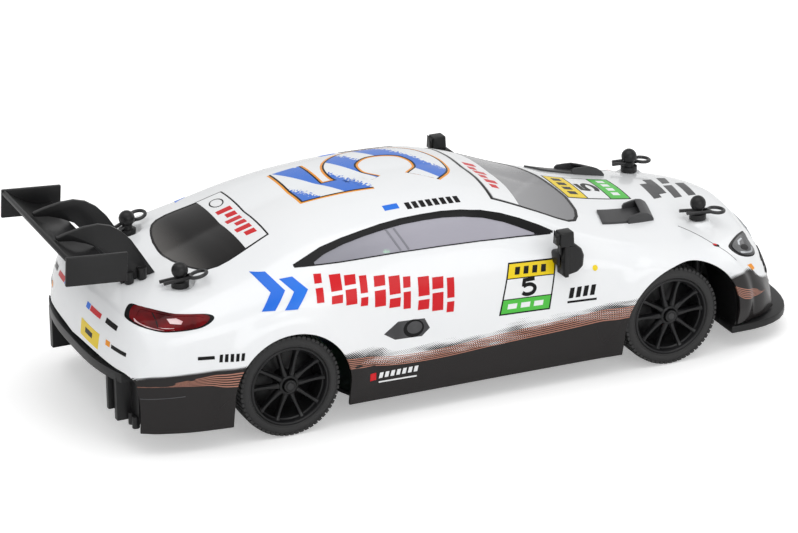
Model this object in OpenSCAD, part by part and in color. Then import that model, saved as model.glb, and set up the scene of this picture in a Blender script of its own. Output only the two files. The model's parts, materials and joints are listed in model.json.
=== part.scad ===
// Small radio-controlled drift car with a clip-on coupe body shell.
// +X points to the nose, +Y to the car's left, +Z up. The origin lies on the ground, under
// the middle of the car's overall length, and every module draws from the mid-wheelbase point.

/* [Overall] */
// Distance between the front and rear axles
wheelbase = 173; // [168:0.5:180]
// Widest part of the shell, across the front arches
body_w = 124.4; // [122:0.2:130]
// Height of the roof's highest point above the ground
roof_h = 84.4; // [82:0.2:90]
// Thickness of the shell
shell_wall = 1.2; // [0.8:0.1:1.6]
// Reach of the rear wing behind the middle of the wheelbase
wing_reach = 173.1; // [171:0.1:176]
// Reach of the splitter ahead of the middle of the wheelbase
splitter_reach = 156.5; // [155.5:0.1:160]

/* [Wheels] */
// Radius of a tyre
tyre_r = 22; // [21:0.25:22.5]
// Width of a tyre
tyre_w = 18; // [16:0.5:18.5]
// Distance from the car's centre plane to a tyre's outer face
wheel_out = 60; // [59:0.25:60.5]
// Radius of the seat where the tyre sits on the rim
rim_seat_r = 17.2; // [16:0.2:18]
// Thickness of the rim's barrel
rim_wall = 2; // [1.5:0.1:2.5]
// Pairs of spokes on a rim
spoke_pairs = 5; // [4:1:7]
// Width of a spoke
spoke_w = 1.3; // [1:0.1:2]
// Radius of a rim's hub
hub_r = 4.2; // [3.6:0.1:5]
// Tread blocks round each shoulder of a tyre
tread_blocks = 60; // [30:1:60]
// Radius of the front arch opening
front_arch_r = 28.3; // [27:0.1:30]
// Radius of the rear arch opening
rear_arch_r = 25.3; // [24.5:0.1:27]

/* [Front axle and steering] */
// Distance from the centre plane to a kingpin
king_y = 37; // [36:0.25:37.5]
// Radius of a kingpin
king_r = 1; // [0.8:0.1:1.2]
// Radius of a knuckle's barrel round its kingpin
barrel_r = 3.2; // [2.8:0.1:3.6]
// Radius of the ears that hold a knuckle
ear_r = 4.4; // [4:0.1:4.6]
// Length of a knuckle's steering arm, and of the servo horn
steer_arm = 8; // [7.5:0.25:8.25]
// Radius of the steering pins
steer_pin_r = 1; // [0.8:0.1:1.1]
// Radius of a front stub axle
stub_r = 1.5; // [1.2:0.1:1.7]

/* [Rear drive] */
// Tooth size of the gears, as pitch diameter for each tooth
gear_module = 0.6; // [0.58:0.01:0.62]
// Teeth on the axle gear
axle_teeth = 34; // [30:1:36]
// Teeth on the idler's large wheel
idler_teeth = 36; // [34:1:36]
// Teeth on the idler's small wheel
idler_pinion_teeth = 14; // [14:1:16]
// Teeth on the motor pinion
motor_teeth = 12; // [12:1:14]
// Width of the gears' teeth
gear_w = 4; // [3:0.5:4.5]
// Radius of the rear axle
axle_r = 2.5; // [2:0.1:2.6]
// Radius of the motor's can
motor_r = 12; // [10:0.25:12.5]
// Length of the motor's can
motor_len = 30; // [24:1:32]

/* [Chassis] */
// Height of the chassis floor's underside above the ground
ground_gap = 8; // [7:0.25:8.5]
// Thickness of the chassis floor
floor_t = 2; // [1.6:0.2:2.2]
// Half the width of the chassis between the wheels
pan_half_w = 52; // [48:0.5:53]
// Length of the battery
battery_len = 72; // [60:1:76]
// Width of the battery
battery_w = 34; // [28:1:36]
// Height of the battery
battery_h = 17; // [14:0.5:20]
// Distance that the power switch slides
switch_travel = 2; // [1.5:0.1:2.5]

/* [Body posts and clips] */
// Distance from the centre plane to the front body posts
front_post_y = 32; // [31:0.25:33]
// Distance from the centre plane to the rear body posts
rear_post_y = 31.5; // [30:0.25:33]
// Radius of a body post
post_r = 2.2; // [2:0.1:2.4]
// Radius of the ball on top of a body post
ball_r = 3.4; // [3:0.05:3.6]
// Radius of the collar that holds the shell down
cup_r = 3.65; // [3.4:0.05:4]
// Radius of a body clip's wire
clip_wire_r = 0.75; // [0.6:0.05:0.8]
// Distance from a clip's post to the centre of its finger ring
clip_ring_x = 7.75; // [7.5:0.25:9.5]
// Distance that a clip's legs reach behind its post
clip_leg = 8.5; // [7:0.5:9]

/* [Wing] */
// Span of the wing over its endplates
wing_span = 84; // [80:1:90]
// Length of an endplate
endplate_len = 25.4; // [24:0.2:28]
// Height of an endplate
endplate_h = 12.1; // [11:0.1:14]
// Height of the wing's rear top corner above the ground
wing_h = 85.6; // [85:0.2:90]
// Distance from the centre plane to a wing upright
upright_y = 15; // [13:0.5:20]

/* [Hidden] */
$fn = 48;

// Colours of the materials
shell_white = "#eef0f2";
glass_grey = "#5a5d62";
trim_black = "#2b2b2d";
rubber_black = "#1b1b1c";
steel = "#a9abae";

// Clearances
run_gap = 0.05;   // radial clearance of a pin, shaft or bore that turns or slides
side_gap = 0.1;   // clearance beside a part that moves
slot_gap = 0.15;  // play of a steering pin in its slot, which takes up the arm's swing
seat_gap = 0.2;   // clearance between the shell and what stands under it

// Frame: the ground point under the middle of the overall length
mid_x = (wing_reach - splitter_reach) / 2;
fx = wheelbase / 2;
rx = -wheelbase / 2;

// ---- Body shell, as curved sections along the car ----

// Fitted lengths of the drawn lines, which stretch with the wheelbase, width and height
drawn_wheelbase = 173;
drawn_body_w = 124.4;
drawn_roof_h = 84.4;
waist_z = 50;     // the lines above this height rise with the roof
tail_x = -158;

// Height and half width of the section's five corners, as [place along the car, value]
crown_z = [[-158, 34], [-157.4, 42], [-155.5, 51], [-152.5, 56.5], [-140, 59.4], [-118, 63.2],
    [-100, 69.6], [-82, 75.6], [-60, 81.2], [-35, 84.3], [-10, 84.4], [12, 81.2], [25, 77],
    [52, 66.6], [78, 60.8], [112, 55.4], [124, 53.2], [134, 51], [142, 43.6], [148, 31.5],
    [151, 19], [152, 13]];
rail_y = [[-158, 42], [-150, 45], [-120, 44], [-95, 40], [-75, 38.5], [0, 38.5], [15, 39.5],
    [30, 42.5], [54, 45.5], [80, 46], [112, 45], [130, 43], [142, 41], [152, 38]];
rail_z = [[-158, 33.5], [-157.2, 41], [-155, 48.5], [-151, 54.2], [-138, 57.2], [-118, 62],
    [-95, 68.5], [-75, 75.2], [-50, 79.5], [-25, 80.8], [0, 80], [15, 76.5], [30, 71], [54, 61.6],
    [80, 54], [112, 48.6], [124, 46.4], [134, 42.4], [142, 35], [148, 25], [151, 15.5],
    [152, 12.5]];
belt_y = [[-158, 49], [-150, 52.5], [-120, 55], [-86, 53.5], [-50, 52], [0, 52.5], [40, 53],
    [70, 56], [92, 57.5], [115, 56.5], [130, 53], [142, 49], [152, 43]];
belt_z = [[-158, 33], [-157, 38.5], [-155, 43.5], [-151, 49], [-138, 53], [-118, 56.5],
    [-86, 63.5], [-50, 66.2], [0, 65.8], [40, 61.4], [70, 53], [92, 47.8], [115, 43.2],
    [130, 37.8], [142, 27.5], [149, 17], [152, 12]];
side_y = [[-158, 53], [-150, 55.5], [-130, 59], [-100, 61.5], [-86, 61.8], [-60, 60.5],
    [-30, 59], [20, 59], [50, 60], [75, 61.8], [92, 62.2], [115, 60], [130, 56.5], [142, 52],
    [152, 45]];
side_z = [[-158, 30], [-154, 34.5], [-148, 39], [-120, 44], [-86, 47], [-30, 42], [20, 42],
    [60, 43.5], [92, 43.5], [115, 38], [130, 30], [142, 22], [152, 11.8]];
sill_y = [[-158, 53], [-150, 55], [-130, 58.5], [-100, 60], [-60, 59], [0, 59], [60, 59.5],
    [92, 61], [115, 59], [130, 55.5], [142, 52], [152, 45]];
sill_z = [[-158, 10], [-148, 9], [-100, 8], [100, 8], [112, 9], [120, 11], [152, 11.4]];
// Sweep of a section's outer end, ahead of or behind its middle
sweep_x = [[-158, 9.5], [-150, 8], [-125, 3], [-100, 0], [0, 0], [30, -1], [54, -4], [80, -5],
    [112, -6], [130, -7], [152, -8]];
// Outward swell of the four sides between the corners: roof, glass, flank and skirt
swell = [1.6, 1.0, 1.2, 0.6];
// Share of each side that the corner's round takes
round_share = [0, 0.3, 0.32, 0.4, 0];
// Points along each side, and round each corner
side_points = [5, 4, 4, 3];
corner_points = 2;

// Slope of a drawn line at its point k, limited so that the line never overshoots
function rise(p, k) = (p[k + 1][1] - p[k][1]) / (p[k + 1][0] - p[k][0]);
function slope(p, k) =
    k == 0 ? rise(p, 0)
    : k == len(p) - 1 ? rise(p, k - 1)
    : rise(p, k - 1) * rise(p, k) <= 0 ? 0
    : let(h0 = p[k][0] - p[k - 1][0], h1 = p[k + 1][0] - p[k][0])
      3 * (h0 + h1) / ((2 * h1 + h0) / rise(p, k - 1) + (h1 + 2 * h0) / rise(p, k));
function line_part(p, x, k) =
    let(h = p[k + 1][0] - p[k][0], t = (x - p[k][0]) / h)
    p[k][1] * (1 + 2 * t) * (1 - t) ^ 2 + slope(p, k) * h * t * (1 - t) ^ 2
    + p[k + 1][1] * t * t * (3 - 2 * t) + slope(p, k + 1) * h * t * t * (t - 1);
// Value of a drawn line at the place x
function drawn(p, x) =
    let(c = max(p[0][0], min(p[len(p) - 1][0], x)),
        k = min(len(p) - 2, max([for (i = [0:len(p) - 1]) if (p[i][0] <= c) i])))
    line_part(p, c, k);

// Drawn place to real place along the car, and back
function along(x) =
    abs(x) <= drawn_wheelbase / 2 ? x * wheelbase / drawn_wheelbase
    : x + sign(x) * (wheelbase - drawn_wheelbase) / 2;
function drawn_place(x) =
    abs(x) <= wheelbase / 2 ? x * drawn_wheelbase / wheelbase
    : x - sign(x) * (wheelbase - drawn_wheelbase) / 2;
width_k = body_w / drawn_body_w;
function high(z) = z <= waist_z ? z : waist_z + (z - waist_z) * (roof_h - waist_z) / (drawn_roof_h - waist_z);

function unit(v) = v / max(norm(v), 1e-6);
// Point at the share t of a section's side k
function side_point(c, k, t) =
    let(d = c[k + 1] - c[k], n = unit([-d[1], d[0]]), out = n * [1, 0.3] < 0 ? -n : n)
    c[k] + d * t + out * swell[k] * 4 * t * (1 - t) * min(1, norm(d) / 20);
function corner_point(c, k, s) =
    let(a = side_point(c, k, 1 - round_share[k + 1]), b = side_point(c, k + 1, round_share[k + 1]))
    a * (1 - s) ^ 2 + c[k + 1] * 2 * s * (1 - s) + b * s ^ 2;
// Half of a section, from the crown to the sill, as [half width, height]
function half_section(x) =
    let(c = [[0, drawn(crown_z, x)], [drawn(rail_y, x), drawn(rail_z, x)],
             [drawn(belt_y, x), drawn(belt_z, x)], [drawn(side_y, x), drawn(side_z, x)],
             [drawn(sill_y, x), drawn(sill_z, x)]])
    [for (k = [0:3]) each [
        for (i = [0:side_points[k] - 1])
            side_point(c, k, round_share[k]
                + (1 - round_share[k] - round_share[k + 1]) * i / (side_points[k] - 1)),
        for (j = [1:(k < 3 ? corner_points : 0)]) corner_point(c, k, j / (corner_points + 1))]];
function section(x) =
    let(h = half_section(x), w = max([for (q = h) q[0]]), bow = drawn(sweep_x, x))
    [for (q = h) [along(x) + bow * (q[0] / w) ^ 3, q[0] * width_k, high(q[1])]];
function steps(a, b, n) = [for (i = [0:n - 1]) a + (b - a) * i / n];
stations = concat(steps(-158, -149, 6), steps(-149, -84, 9), steps(-84, 24, 11),
    steps(24, 112, 11), steps(112, 134, 4), steps(134, 152, 7), [152]);
shell_grid = [for (x = stations) let(s = section(x))
    concat([for (i = [len(s) - 1:-1:1]) s[i]], [for (q = s) [q[0], -q[1], q[2]]])];
rows = len(shell_grid);
cols = len(shell_grid[0]);
function grid_normal(i, j) =
    let(a = shell_grid[min(i + 1, rows - 1)][j] - shell_grid[max(i - 1, 0)][j],
        b = shell_grid[i][min(j + 1, cols - 1)] - shell_grid[i][max(j - 1, 0)])
    unit(cross(b, a));
// The shell's outer face moved inward by a depth
function sheet(depth) = [for (i = [0:rows - 1]) for (j = [0:cols - 1])
    shell_grid[i][j] - depth * grid_normal(i, j)];

// Closed skin between two depths below the shell's outer face
module skin(from, to) {
    n = rows * cols;
    faces_between = [
        for (i = [0:rows - 2]) for (j = [0:cols - 2])
            let(a = i * cols + j, b = a + cols, c = b + 1, d = a + 1)
            each [[a, b, c], [a, c, d], [n + a, n + c, n + b], [n + a, n + d, n + c]],
        for (i = [0:rows - 2]) let(a = i * cols, b = a + cols)
            each [[a, n + a, n + b], [a, n + b, b]],
        for (i = [0:rows - 2]) let(a = i * cols + cols - 1, b = a + cols)
            each [[a, b, n + b], [a, n + b, n + a]],
        for (j = [0:cols - 2]) let(a = j, b = j + 1)
            each [[a, b, n + b], [a, n + b, n + a]],
        for (j = [0:cols - 2]) let(a = (rows - 1) * cols + j, b = a + 1)
            each [[a, n + a, n + b], [a, n + b, b]]];
    polyhedron(points = concat(sheet(from), sheet(to)), faces = faces_between);
}

// Height of the shell's top at a place, clear of its rounded rails
function top_z(x, y) =
    let(p = drawn_place(x), t = abs(y) / width_k / drawn(rail_y, p))
    high(drawn(crown_z, p) + (drawn(rail_z, p) - drawn(crown_z, p)) * t + swell[0] * 4 * t * (1 - t));
// Half width of the shell at its belt line
function belt_at(x) = drawn(belt_y, drawn_place(x)) * width_k;

// Outlines of the windows: two in plan, one in side view
screen_front_x = along(53);
screen_back_x = along(15);
screen_half_w = [33.5, 42] * width_k;
module windscreen_outline(inset) offset(delta = -inset) polygon([
    [screen_back_x, -screen_half_w[0]], [along(30), -37 * width_k], [screen_front_x - 3, -screen_half_w[1]],
    [along(56), -30 * width_k], [along(58.5), -15 * width_k], [along(59), 0],
    [along(58.5), 15 * width_k], [along(56), 30 * width_k], [screen_front_x - 3, screen_half_w[1]],
    [along(30), 37 * width_k], [screen_back_x, screen_half_w[0]],
    [screen_back_x + 1.5, 15 * width_k], [screen_back_x + 1.5, -15 * width_k]]);
module rear_window_outline(inset) offset(delta = -inset) offset(3) offset(-3) polygon([
    [along(-82), -26.5 * width_k], [along(-92), -28.5 * width_k], [along(-103), -31 * width_k],
    [along(-108), -31 * width_k], [along(-112), -28 * width_k], [along(-116), -19 * width_k],
    [along(-118.5), -8 * width_k], [along(-118.5), 8 * width_k], [along(-116), 19 * width_k],
    [along(-112), 28 * width_k], [along(-108), 31 * width_k], [along(-103), 31 * width_k],
    [along(-92), 28.5 * width_k], [along(-82), 26.5 * width_k]]);
module side_window_outline(inset) offset(delta = -inset) polygon([
    for (q = [[-79, 69], [-66.5, 73], [-57, 75], [-48, 76.3], [-39, 77.3], [-30, 78], [-20, 78.2],
        [-10, 78], [-2, 77.3], [6, 76], [14.5, 73.8], [22.5, 71], [30, 67.8], [35, 65.3],
        [33, 64.9], [19.5, 66.2], [1.5, 67.3], [-16, 67.8], [-34, 68.1], [-60, 68.1], [-75, 68.4]])
        [along(q[0]), high(q[1])]]);
pane_gap = 0.1;
pane_t = 0.9;
module left_prism(inset) translate([0, 70, 0]) rotate([90, 0, 0])
    linear_extrude(height = 50) side_window_outline(inset);

// Body posts: where they stand, and the shell's level seat round each, with a ring below it
front_post_x = fx + 26.5;
rear_post_x = rx - 35.5;
front_seat_z = top_z(front_post_x, front_post_y) + 0.4;
rear_seat_z = top_z(rear_post_x, rear_post_y) - 1.5;
seat_r = cup_r + 1.8;
post_hole_r = post_r + 0.5;
seat_ring_h = 3;
cup_h = 2.6;
clip_drop = clip_wire_r + 0.7;
function clip_z(seat) = seat + cup_h + clip_drop;
// The ball sits as low as the clip's outer leg lets it
clip_side = post_r + clip_wire_r + 0.3;
function ball_z(seat) = clip_z(seat) + sqrt((ball_r + clip_wire_r + 0.3) ^ 2 - clip_side ^ 2);

module post_seats(grow, up) {
    for (s = [-1, 1]) {
        translate([front_post_x, s * front_post_y, front_seat_z - grow])
            cylinder(r = seat_r + grow, h = up + grow, $fn = 32);
        translate([rear_post_x, s * rear_post_y, rear_seat_z - grow])
            cylinder(r = seat_r + grow, h = up + grow, $fn = 32);
    }
}
module seat_ring(x, y, seat) translate([x, y, seat - seat_ring_h]) difference() {
    cylinder(r = seat_r + shell_wall, h = seat_ring_h, $fn = 32);
    translate([0, 0, -1]) cylinder(r = cup_r + side_gap + 0.1, h = seat_ring_h + 2, $fn = 32);
}
module seat_rings() for (s = [-1, 1]) {
    seat_ring(front_post_x, s * front_post_y, front_seat_z);
    seat_ring(rear_post_x, s * rear_post_y, rear_seat_z);
}
module post_holes() {
    for (s = [-1, 1]) {
        translate([front_post_x, s * front_post_y, 0]) cylinder(r = post_hole_r, h = roof_h);
        translate([rear_post_x, s * rear_post_y, 0]) cylinder(r = post_hole_r, h = roof_h);
        // room under the raised front seats for the posts' lower collars
        translate([front_post_x, s * front_post_y, front_seat_z - shell_wall - 8])
            cylinder(r = cup_r + side_gap + 0.2, h = 8, $fn = 32);
    }
}
front_arch_x = fx + 5;
front_arch_z = tyre_r - 4;
rear_arch_x = rx + 0.5;
rear_arch_z = tyre_r - 1.5;
module arches() {
    for (s = [-1, 1]) {
        translate([front_arch_x, s * 60, front_arch_z]) rotate([90, 0, 0])
            cylinder(r = front_arch_r, h = 40, center = true);
        translate([front_arch_x, s * 60, 0]) cube([2 * front_arch_r, 40, 2 * front_arch_z], center = true);
        translate([rear_arch_x, s * 60, rear_arch_z]) rotate([90, 0, 0])
            cylinder(r = rear_arch_r, h = 40, center = true);
        translate([rear_arch_x, s * 60, 0]) cube([2 * rear_arch_r, 40, 2 * rear_arch_z], center = true);
    }
}

module body_shell() color(shell_white) translate([mid_x, 0, 0]) resize([0, 0, 0]) difference() {
    union() {
        difference() {
            skin(0, shell_wall);
            post_seats(0, 20);
        }
        post_seats(shell_wall, 0);
        seat_rings();
    }
    post_holes();
    arches();
    translate([0, 0, waist_z]) linear_extrude(height = 60) windscreen_outline(0);
    translate([0, 0, waist_z]) linear_extrude(height = 60) rear_window_outline(0);
    left_prism(0);
    mirror([0, 1, 0]) left_prism(0);
}
module windscreen() color(glass_grey) translate([mid_x, 0, 0]) resize([0, 0, 0]) intersection() {
    skin(0, pane_t);
    translate([0, 0, waist_z]) linear_extrude(height = 60) windscreen_outline(pane_gap);
}
module rear_window() color(glass_grey) translate([mid_x, 0, 0]) resize([0, 0, 0]) intersection() {
    skin(0, pane_t);
    translate([0, 0, waist_z]) linear_extrude(height = 60) rear_window_outline(pane_gap);
}
module side_window_left() color(glass_grey) translate([mid_x, 0, 0]) resize([0, 0, 0]) intersection() {
    skin(0, pane_t);
    left_prism(pane_gap);
}
module side_window_right() color(glass_grey) mirror([0, 1, 0]) side_window_left();

// Keeps only what lies outside the shell, with a small gap to its outer face
module outside_shell() resize([0, 0, 0]) difference() {
    children();
    skin(-seat_gap, 5);
}

// ---- Trim on the shell ----

splitter_z = 7.4;
splitter_t = 3.2;
splitter_half_w = body_w / 2 - 5;
splitter_back_x = fx + 31;
splitter_depth = 22;
splitter_lip_w = 12;
splitter_power = 3.5;
// Plan curve of the splitter's edge, square in front with well rounded corners
function splitter_edge(reach, half_w) =
    let(c = fx + 25.5, e = 2 / splitter_power)
    [for (u = [-80:8:80]) [c + (reach - c) * cos(u) ^ e, half_w * sign(u) * abs(sin(u)) ^ e]];
function reversed(v) = [for (i = [len(v) - 1:-1:0]) v[i]];
module front_splitter() color(trim_black) translate([mid_x, 0, splitter_z])
    linear_extrude(height = splitter_t) intersection() {
        polygon(concat(
            [[fx, -splitter_half_w]], splitter_edge(splitter_reach, splitter_half_w), [[fx, splitter_half_w]],
            [[fx, splitter_half_w - splitter_lip_w]],
            reversed(splitter_edge(splitter_reach - splitter_depth, splitter_half_w - splitter_lip_w)),
            [[fx, splitter_lip_w - splitter_half_w]]));
        translate([splitter_back_x, -80]) square([80, 160]);
    }

shelf_z = 30;
shelf_t = 4;
shelf_half_w = 45;
shelf_reach = 0.8;
fin_bottom_z = 12.5;
tail_real = along(tail_x);
function tail_edge(y, reach) =
    tail_real - reach + drawn(sweep_x, tail_x) * (abs(y) / drawn(sill_y, tail_x) / width_k) ^ 3;
module tail_band(from, to, half_w, z, h) translate([0, 0, z]) linear_extrude(height = h) polygon(concat(
    [for (i = [-12:12]) [tail_edge(half_w * i / 12, from), half_w * i / 12]],
    [for (i = [12:-1:-12]) [tail_edge(half_w * i / 12, to), half_w * i / 12]]));
module fin(s, y, w, z, depth) translate([tail_edge(y, 0.5), s * y - w / 2, z])
    cube([depth, w, shelf_z + 1 - z]);
module rear_diffuser() color(trim_black) translate([mid_x, 0, 0]) outside_shell() {
    tail_band(shelf_reach, -6, shelf_half_w, shelf_z, shelf_t);
    for (s = [-1, 1]) {
        fin(s, 40.5, 3, fin_bottom_z, 9);
        fin(s, 35, 2.2, fin_bottom_z + 3, 9);
        translate([tail_edge(46, -3.5), s * 46.2 - 5.3, fin_bottom_z])
            cube([2, 10.6, shelf_z - fin_bottom_z + 2]);
        for (k = [0, 1]) translate([tail_edge(46, -2.8), s * (44.5 + 4.5 * k), fin_bottom_z - 1])
            cylinder(r = 1.5, h = 5, $fn = 24);
    }
}

plate_t = 1.8;
wing_pitch = 4;
wing_rear_x = -wing_reach + endplate_h * sin(wing_pitch);
// The wing's own frame: its rear top corner, with x forward, pitched nose down
module wing_frame() translate([mid_x + wing_rear_x, 0, wing_h]) rotate([0, wing_pitch, 0]) children();
module wing_endplate_left() color(trim_black) wing_frame()
    translate([0, wing_span / 2 - plate_t, -endplate_h]) cube([endplate_len, plate_t, endplate_h]);
module wing_endplate_right() color(trim_black) mirror([0, 1, 0]) wing_endplate_left();

blade_t = 1.5;
blade_dip = 6.6;
blade_chord = 21;
blade_gap = 0.02;
// Middle line of the blade: it falls from the thick trailing edge and levels out in front
function blade_line(t) =
    [1.2 + (blade_chord - 1.2) * t, -1.3 - blade_dip * sin(90 * min(1, t * 1.25)) + 1.6 * max(0, t - 0.8)];
// Outline of the blade, with a thick rounded trailing edge
module blade_outline(edge_r, above, below) polygon(concat(
    [for (i = [1:12]) blade_line(i / 12) + [0, above]],
    [for (i = [12:-1:1]) blade_line(i / 12) - [0, below]],
    [for (a = [270:-15:90]) blade_line(0) + edge_r * [cos(a), sin(a)]]));
blade_edge_r = 1.25;
module wing_blade() color(trim_black) wing_frame() rotate([90, 0, 0])
    translate([0, 0, -wing_span / 2 + plate_t]) linear_extrude(height = wing_span - 2 * plate_t)
        blade_outline(blade_edge_r, blade_t / 2, blade_t / 2);
// Reach, height and boot lid height that the uprights were drawn for
drawn_wing_reach = 173.1;
drawn_wing_h = 85.6;
drawn_deck_z = 61.3;
foot_boss_x = [rx - 52, rx - 46.5];
foot_boss_r = 1.9;
foot_boss_h = 4.8;
deck_z = top_z(foot_boss_x[1], upright_y);
// Height above which an upright lies over the blade
drawn_neck_z = 76;
// A drawn place on an upright: its foot follows the boot lid, and what lies over the blade follows it
function upright_at(q) =
    let(t = max(0, min(1, (q[1] - drawn_deck_z) / (drawn_neck_z - drawn_deck_z))))
    [q[0] + (drawn_wing_reach - wing_reach) * t + (drawn_wheelbase - wheelbase) / 2 * (1 - t),
     q[1] + (wing_h - drawn_wing_h) * t + (deck_z - drawn_deck_z) * (1 - t)];
// Side view of an upright: a swan neck that reaches over the blade from a foot on the boot lid
neck_t = 2;
upright_outline = [
    [-168.6, 83.6], [-163, 85.2], [-156, 86.6], [-150, 86.8], [-145, 85.4], [-140.5, 82.4],
    [-136.5, 78], [-125.5, 60], [-141, 58], [-143.5, 66], [-146.5, 72.5], [-150.5, 77], [-155.5, 79.6],
    [-161, 81.6], [-167, 82.4]];
module wing_upright_left() color(trim_black) translate([mid_x, 0, 0]) outside_shell() difference() {
    union() {
        translate([0, upright_y + neck_t / 2, 0]) rotate([90, 0, 0]) linear_extrude(height = neck_t)
            offset(0.8, $fn = 16) offset(-0.8) polygon([for (q = upright_outline) upright_at(q)]);
        for (x = foot_boss_x) translate([x, upright_y + neck_t / 2 + 1.2, top_z(x, upright_y) - 3])
            cylinder(r = foot_boss_r, h = foot_boss_h + 3, $fn = 24);
    }
    wing_clearance();
}
// Space that the blade takes in the uprights
module wing_clearance() translate([-mid_x, 0, 0]) wing_frame() rotate([90, 0, 0])
    linear_extrude(height = wing_span, center = true)
        blade_outline(blade_edge_r + blade_gap, blade_t / 2 + blade_gap, 6);
module wing_upright_right() color(trim_black) mirror([0, 1, 0]) wing_upright_left();

mirror_x = fx - 48.5;
mirror_out = 70;
mirror_lift = 4.1;
mirror_z = high(drawn(belt_z, drawn_place(mirror_x))) + mirror_lift;
// Each mirror: a small upper block, a flat-backed housing that rounds off forwards, and an arm
module mirror_left() color(trim_black) translate([mid_x, 0, 0]) outside_shell() {
    hull() {
        translate([mirror_x - 7, mirror_out - 10, mirror_z - 1]) cube([6, 6, 5.4]);
        translate([mirror_x - 6.5, mirror_out - 9.5, mirror_z - 1]) cube([5, 5, 6]);
    }
    hull() {
        translate([mirror_x - 4, mirror_out - 11.5, mirror_z - 15]) cube([2, 7, 14.5]);
        translate([mirror_x + 1.5, mirror_out - 11, mirror_z - 13]) cube([2.8, 5, 10]);
    }
    hull() {
        translate([mirror_x - 4, mirror_out - 11, mirror_z - 12]) cube([4, 2, 5.5]);
        translate([mirror_x - 5, belt_at(mirror_x) + 1.5, mirror_z - 12]) cube([5, 2, 6]);
    }
}
module mirror_right() color(trim_black) mirror([0, 1, 0]) mirror_left();

vent_x = fx - 21.9;
vent_y = 34.4;
vent_yaw = -13;
vent_len = 28.5;
vent_half_w = 5.4;
cowl_half_w = 6.2;
// An upright pin of a vent: along it, across it, and its height over the bonnet
module vent_pin(u, w, up) {
    x = vent_x + u * cos(vent_yaw) - w * sin(vent_yaw);
    y = vent_y + u * sin(vent_yaw) + w * cos(vent_yaw);
    translate([x, y, top_z(x, y) - 3]) cylinder(r = 0.6, h = 3 + up, $fn = 16);
}
// Each vent: a flat tray, and at its front a cowl with its mouth to the rear
module bonnet_vent_left() color(trim_black) translate([mid_x, 0, 0]) outside_shell() {
    hull() for (u = [0.6, vent_len - 2], w = [-1, 1]) vent_pin(u, w * (vent_half_w - 0.6), 0.9);
    hull() for (w = [-1, 1]) {
        vent_pin(vent_len / 2, w * (cowl_half_w - 0.6), 2.6);
        vent_pin(vent_len / 2 + 0.6, w * (cowl_half_w - 2.4), 4);
        vent_pin(vent_len - 6.5, w * (cowl_half_w - 2.4), 4.2);
        vent_pin(vent_len - 0.6, w * (cowl_half_w - 0.9), 0.9);
    }
}
module bonnet_vent_right() color(trim_black) mirror([0, 1, 0]) bonnet_vent_left();

// ---- Chassis ----

floor_top = ground_gap + floor_t;
pan_wall = 2;
pan_wall_h = 6;
pan_front_x = fx + 43;
pan_rear_x = rx - 42;
pan_mid_x = 50;
post_foot_r = post_r + 1.2;
pan_rear_half_w = rear_post_y + post_foot_r + pan_wall + side_gap;
pan_front_half_w = 28;
pan_nose_half_w = 36;
half_pan = [
    [pan_rear_x, 0], [pan_rear_x, pan_rear_half_w - 4], [pan_rear_x + 4, pan_rear_half_w],
    [rx + 25, pan_rear_half_w], [rx + 31, pan_half_w], [fx - 37, pan_half_w],
    [fx - 27, pan_front_half_w], [fx + 25, pan_front_half_w], [fx + 28, pan_nose_half_w],
    [pan_front_x - 3, pan_nose_half_w], [pan_front_x, pan_nose_half_w - 3], [pan_front_x, 0]];
module pan_outline() polygon(concat(half_pan,
    [for (i = [len(half_pan) - 2:-1:1]) [half_pan[i][0], -half_pan[i][1]]]));
module chassis_pan() color(trim_black) translate([mid_x, 0, 0]) {
    translate([0, 0, ground_gap]) linear_extrude(height = floor_t) pan_outline();
    for (s = [-1, 1]) {
        translate([rx + 31.5, s * (pan_half_w - pan_wall / 2) - pan_wall / 2, floor_top])
            cube([wheelbase - 69, pan_wall, pan_wall_h]);
        translate([pan_rear_x + 6, s * (pan_rear_half_w - pan_wall / 2) - pan_wall / 2, floor_top])
            cube([pan_wall * 12, pan_wall, pan_wall_h]);
    }
}

// Height of the wheel centres, and the knuckles and ears round it
wheel_z = tyre_r;
barrel_low = wheel_z - 6.4;
barrel_high = wheel_z + 5.9;
ear_t = 2.7;
ear_low = barrel_low - side_gap * 2 - ear_t;
ear_high = barrel_high + side_gap * 2;
rack_x = fx - steer_arm;
rack_z = wheel_z + 5;
rack_t = 2;
rack_half_w = 2.2;
arm_t = 2.8;
arm_z = rack_z - 0.8 - arm_t;
steer_limit = 25;
pin_drift = steer_arm * (1 - cos(steer_limit));
guide_y = 18;
guide_w = 4;
module beam_plate(z) translate([fx, 0, z]) {
    translate([-ear_r, -king_y, 0]) cube([2 * ear_r, 2 * king_y, ear_t]);
    for (s = [-1, 1]) translate([0, s * king_y, 0]) cylinder(r = ear_r, h = ear_t);
}
module front_beam() color(trim_black) translate([mid_x, 0, 0]) difference() {
    union() {
        beam_plate(ear_low);
        beam_plate(ear_high);
        translate([fx - ear_r, -10, floor_top]) cube([2 * ear_r, 20, ear_high - floor_top + 1]);
        for (s = [-1, 1]) translate([rack_x - rack_half_w - 2.4, s * guide_y - guide_w / 2, rack_z - 2.4])
            cube([steer_arm - ear_r + rack_half_w + 4, guide_w, ear_high + ear_t + 0.6 - rack_z + 2.4]);
    }
    translate([rack_x - rack_half_w - side_gap, -guide_y - guide_w, rack_z - side_gap])
        cube([2 * (rack_half_w + side_gap), 2 * (guide_y + guide_w), rack_t + 2 * side_gap]);
    for (s = [-1, 1]) translate([fx, s * king_y, 0]) cylinder(r = king_r, h = 60);
}
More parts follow.
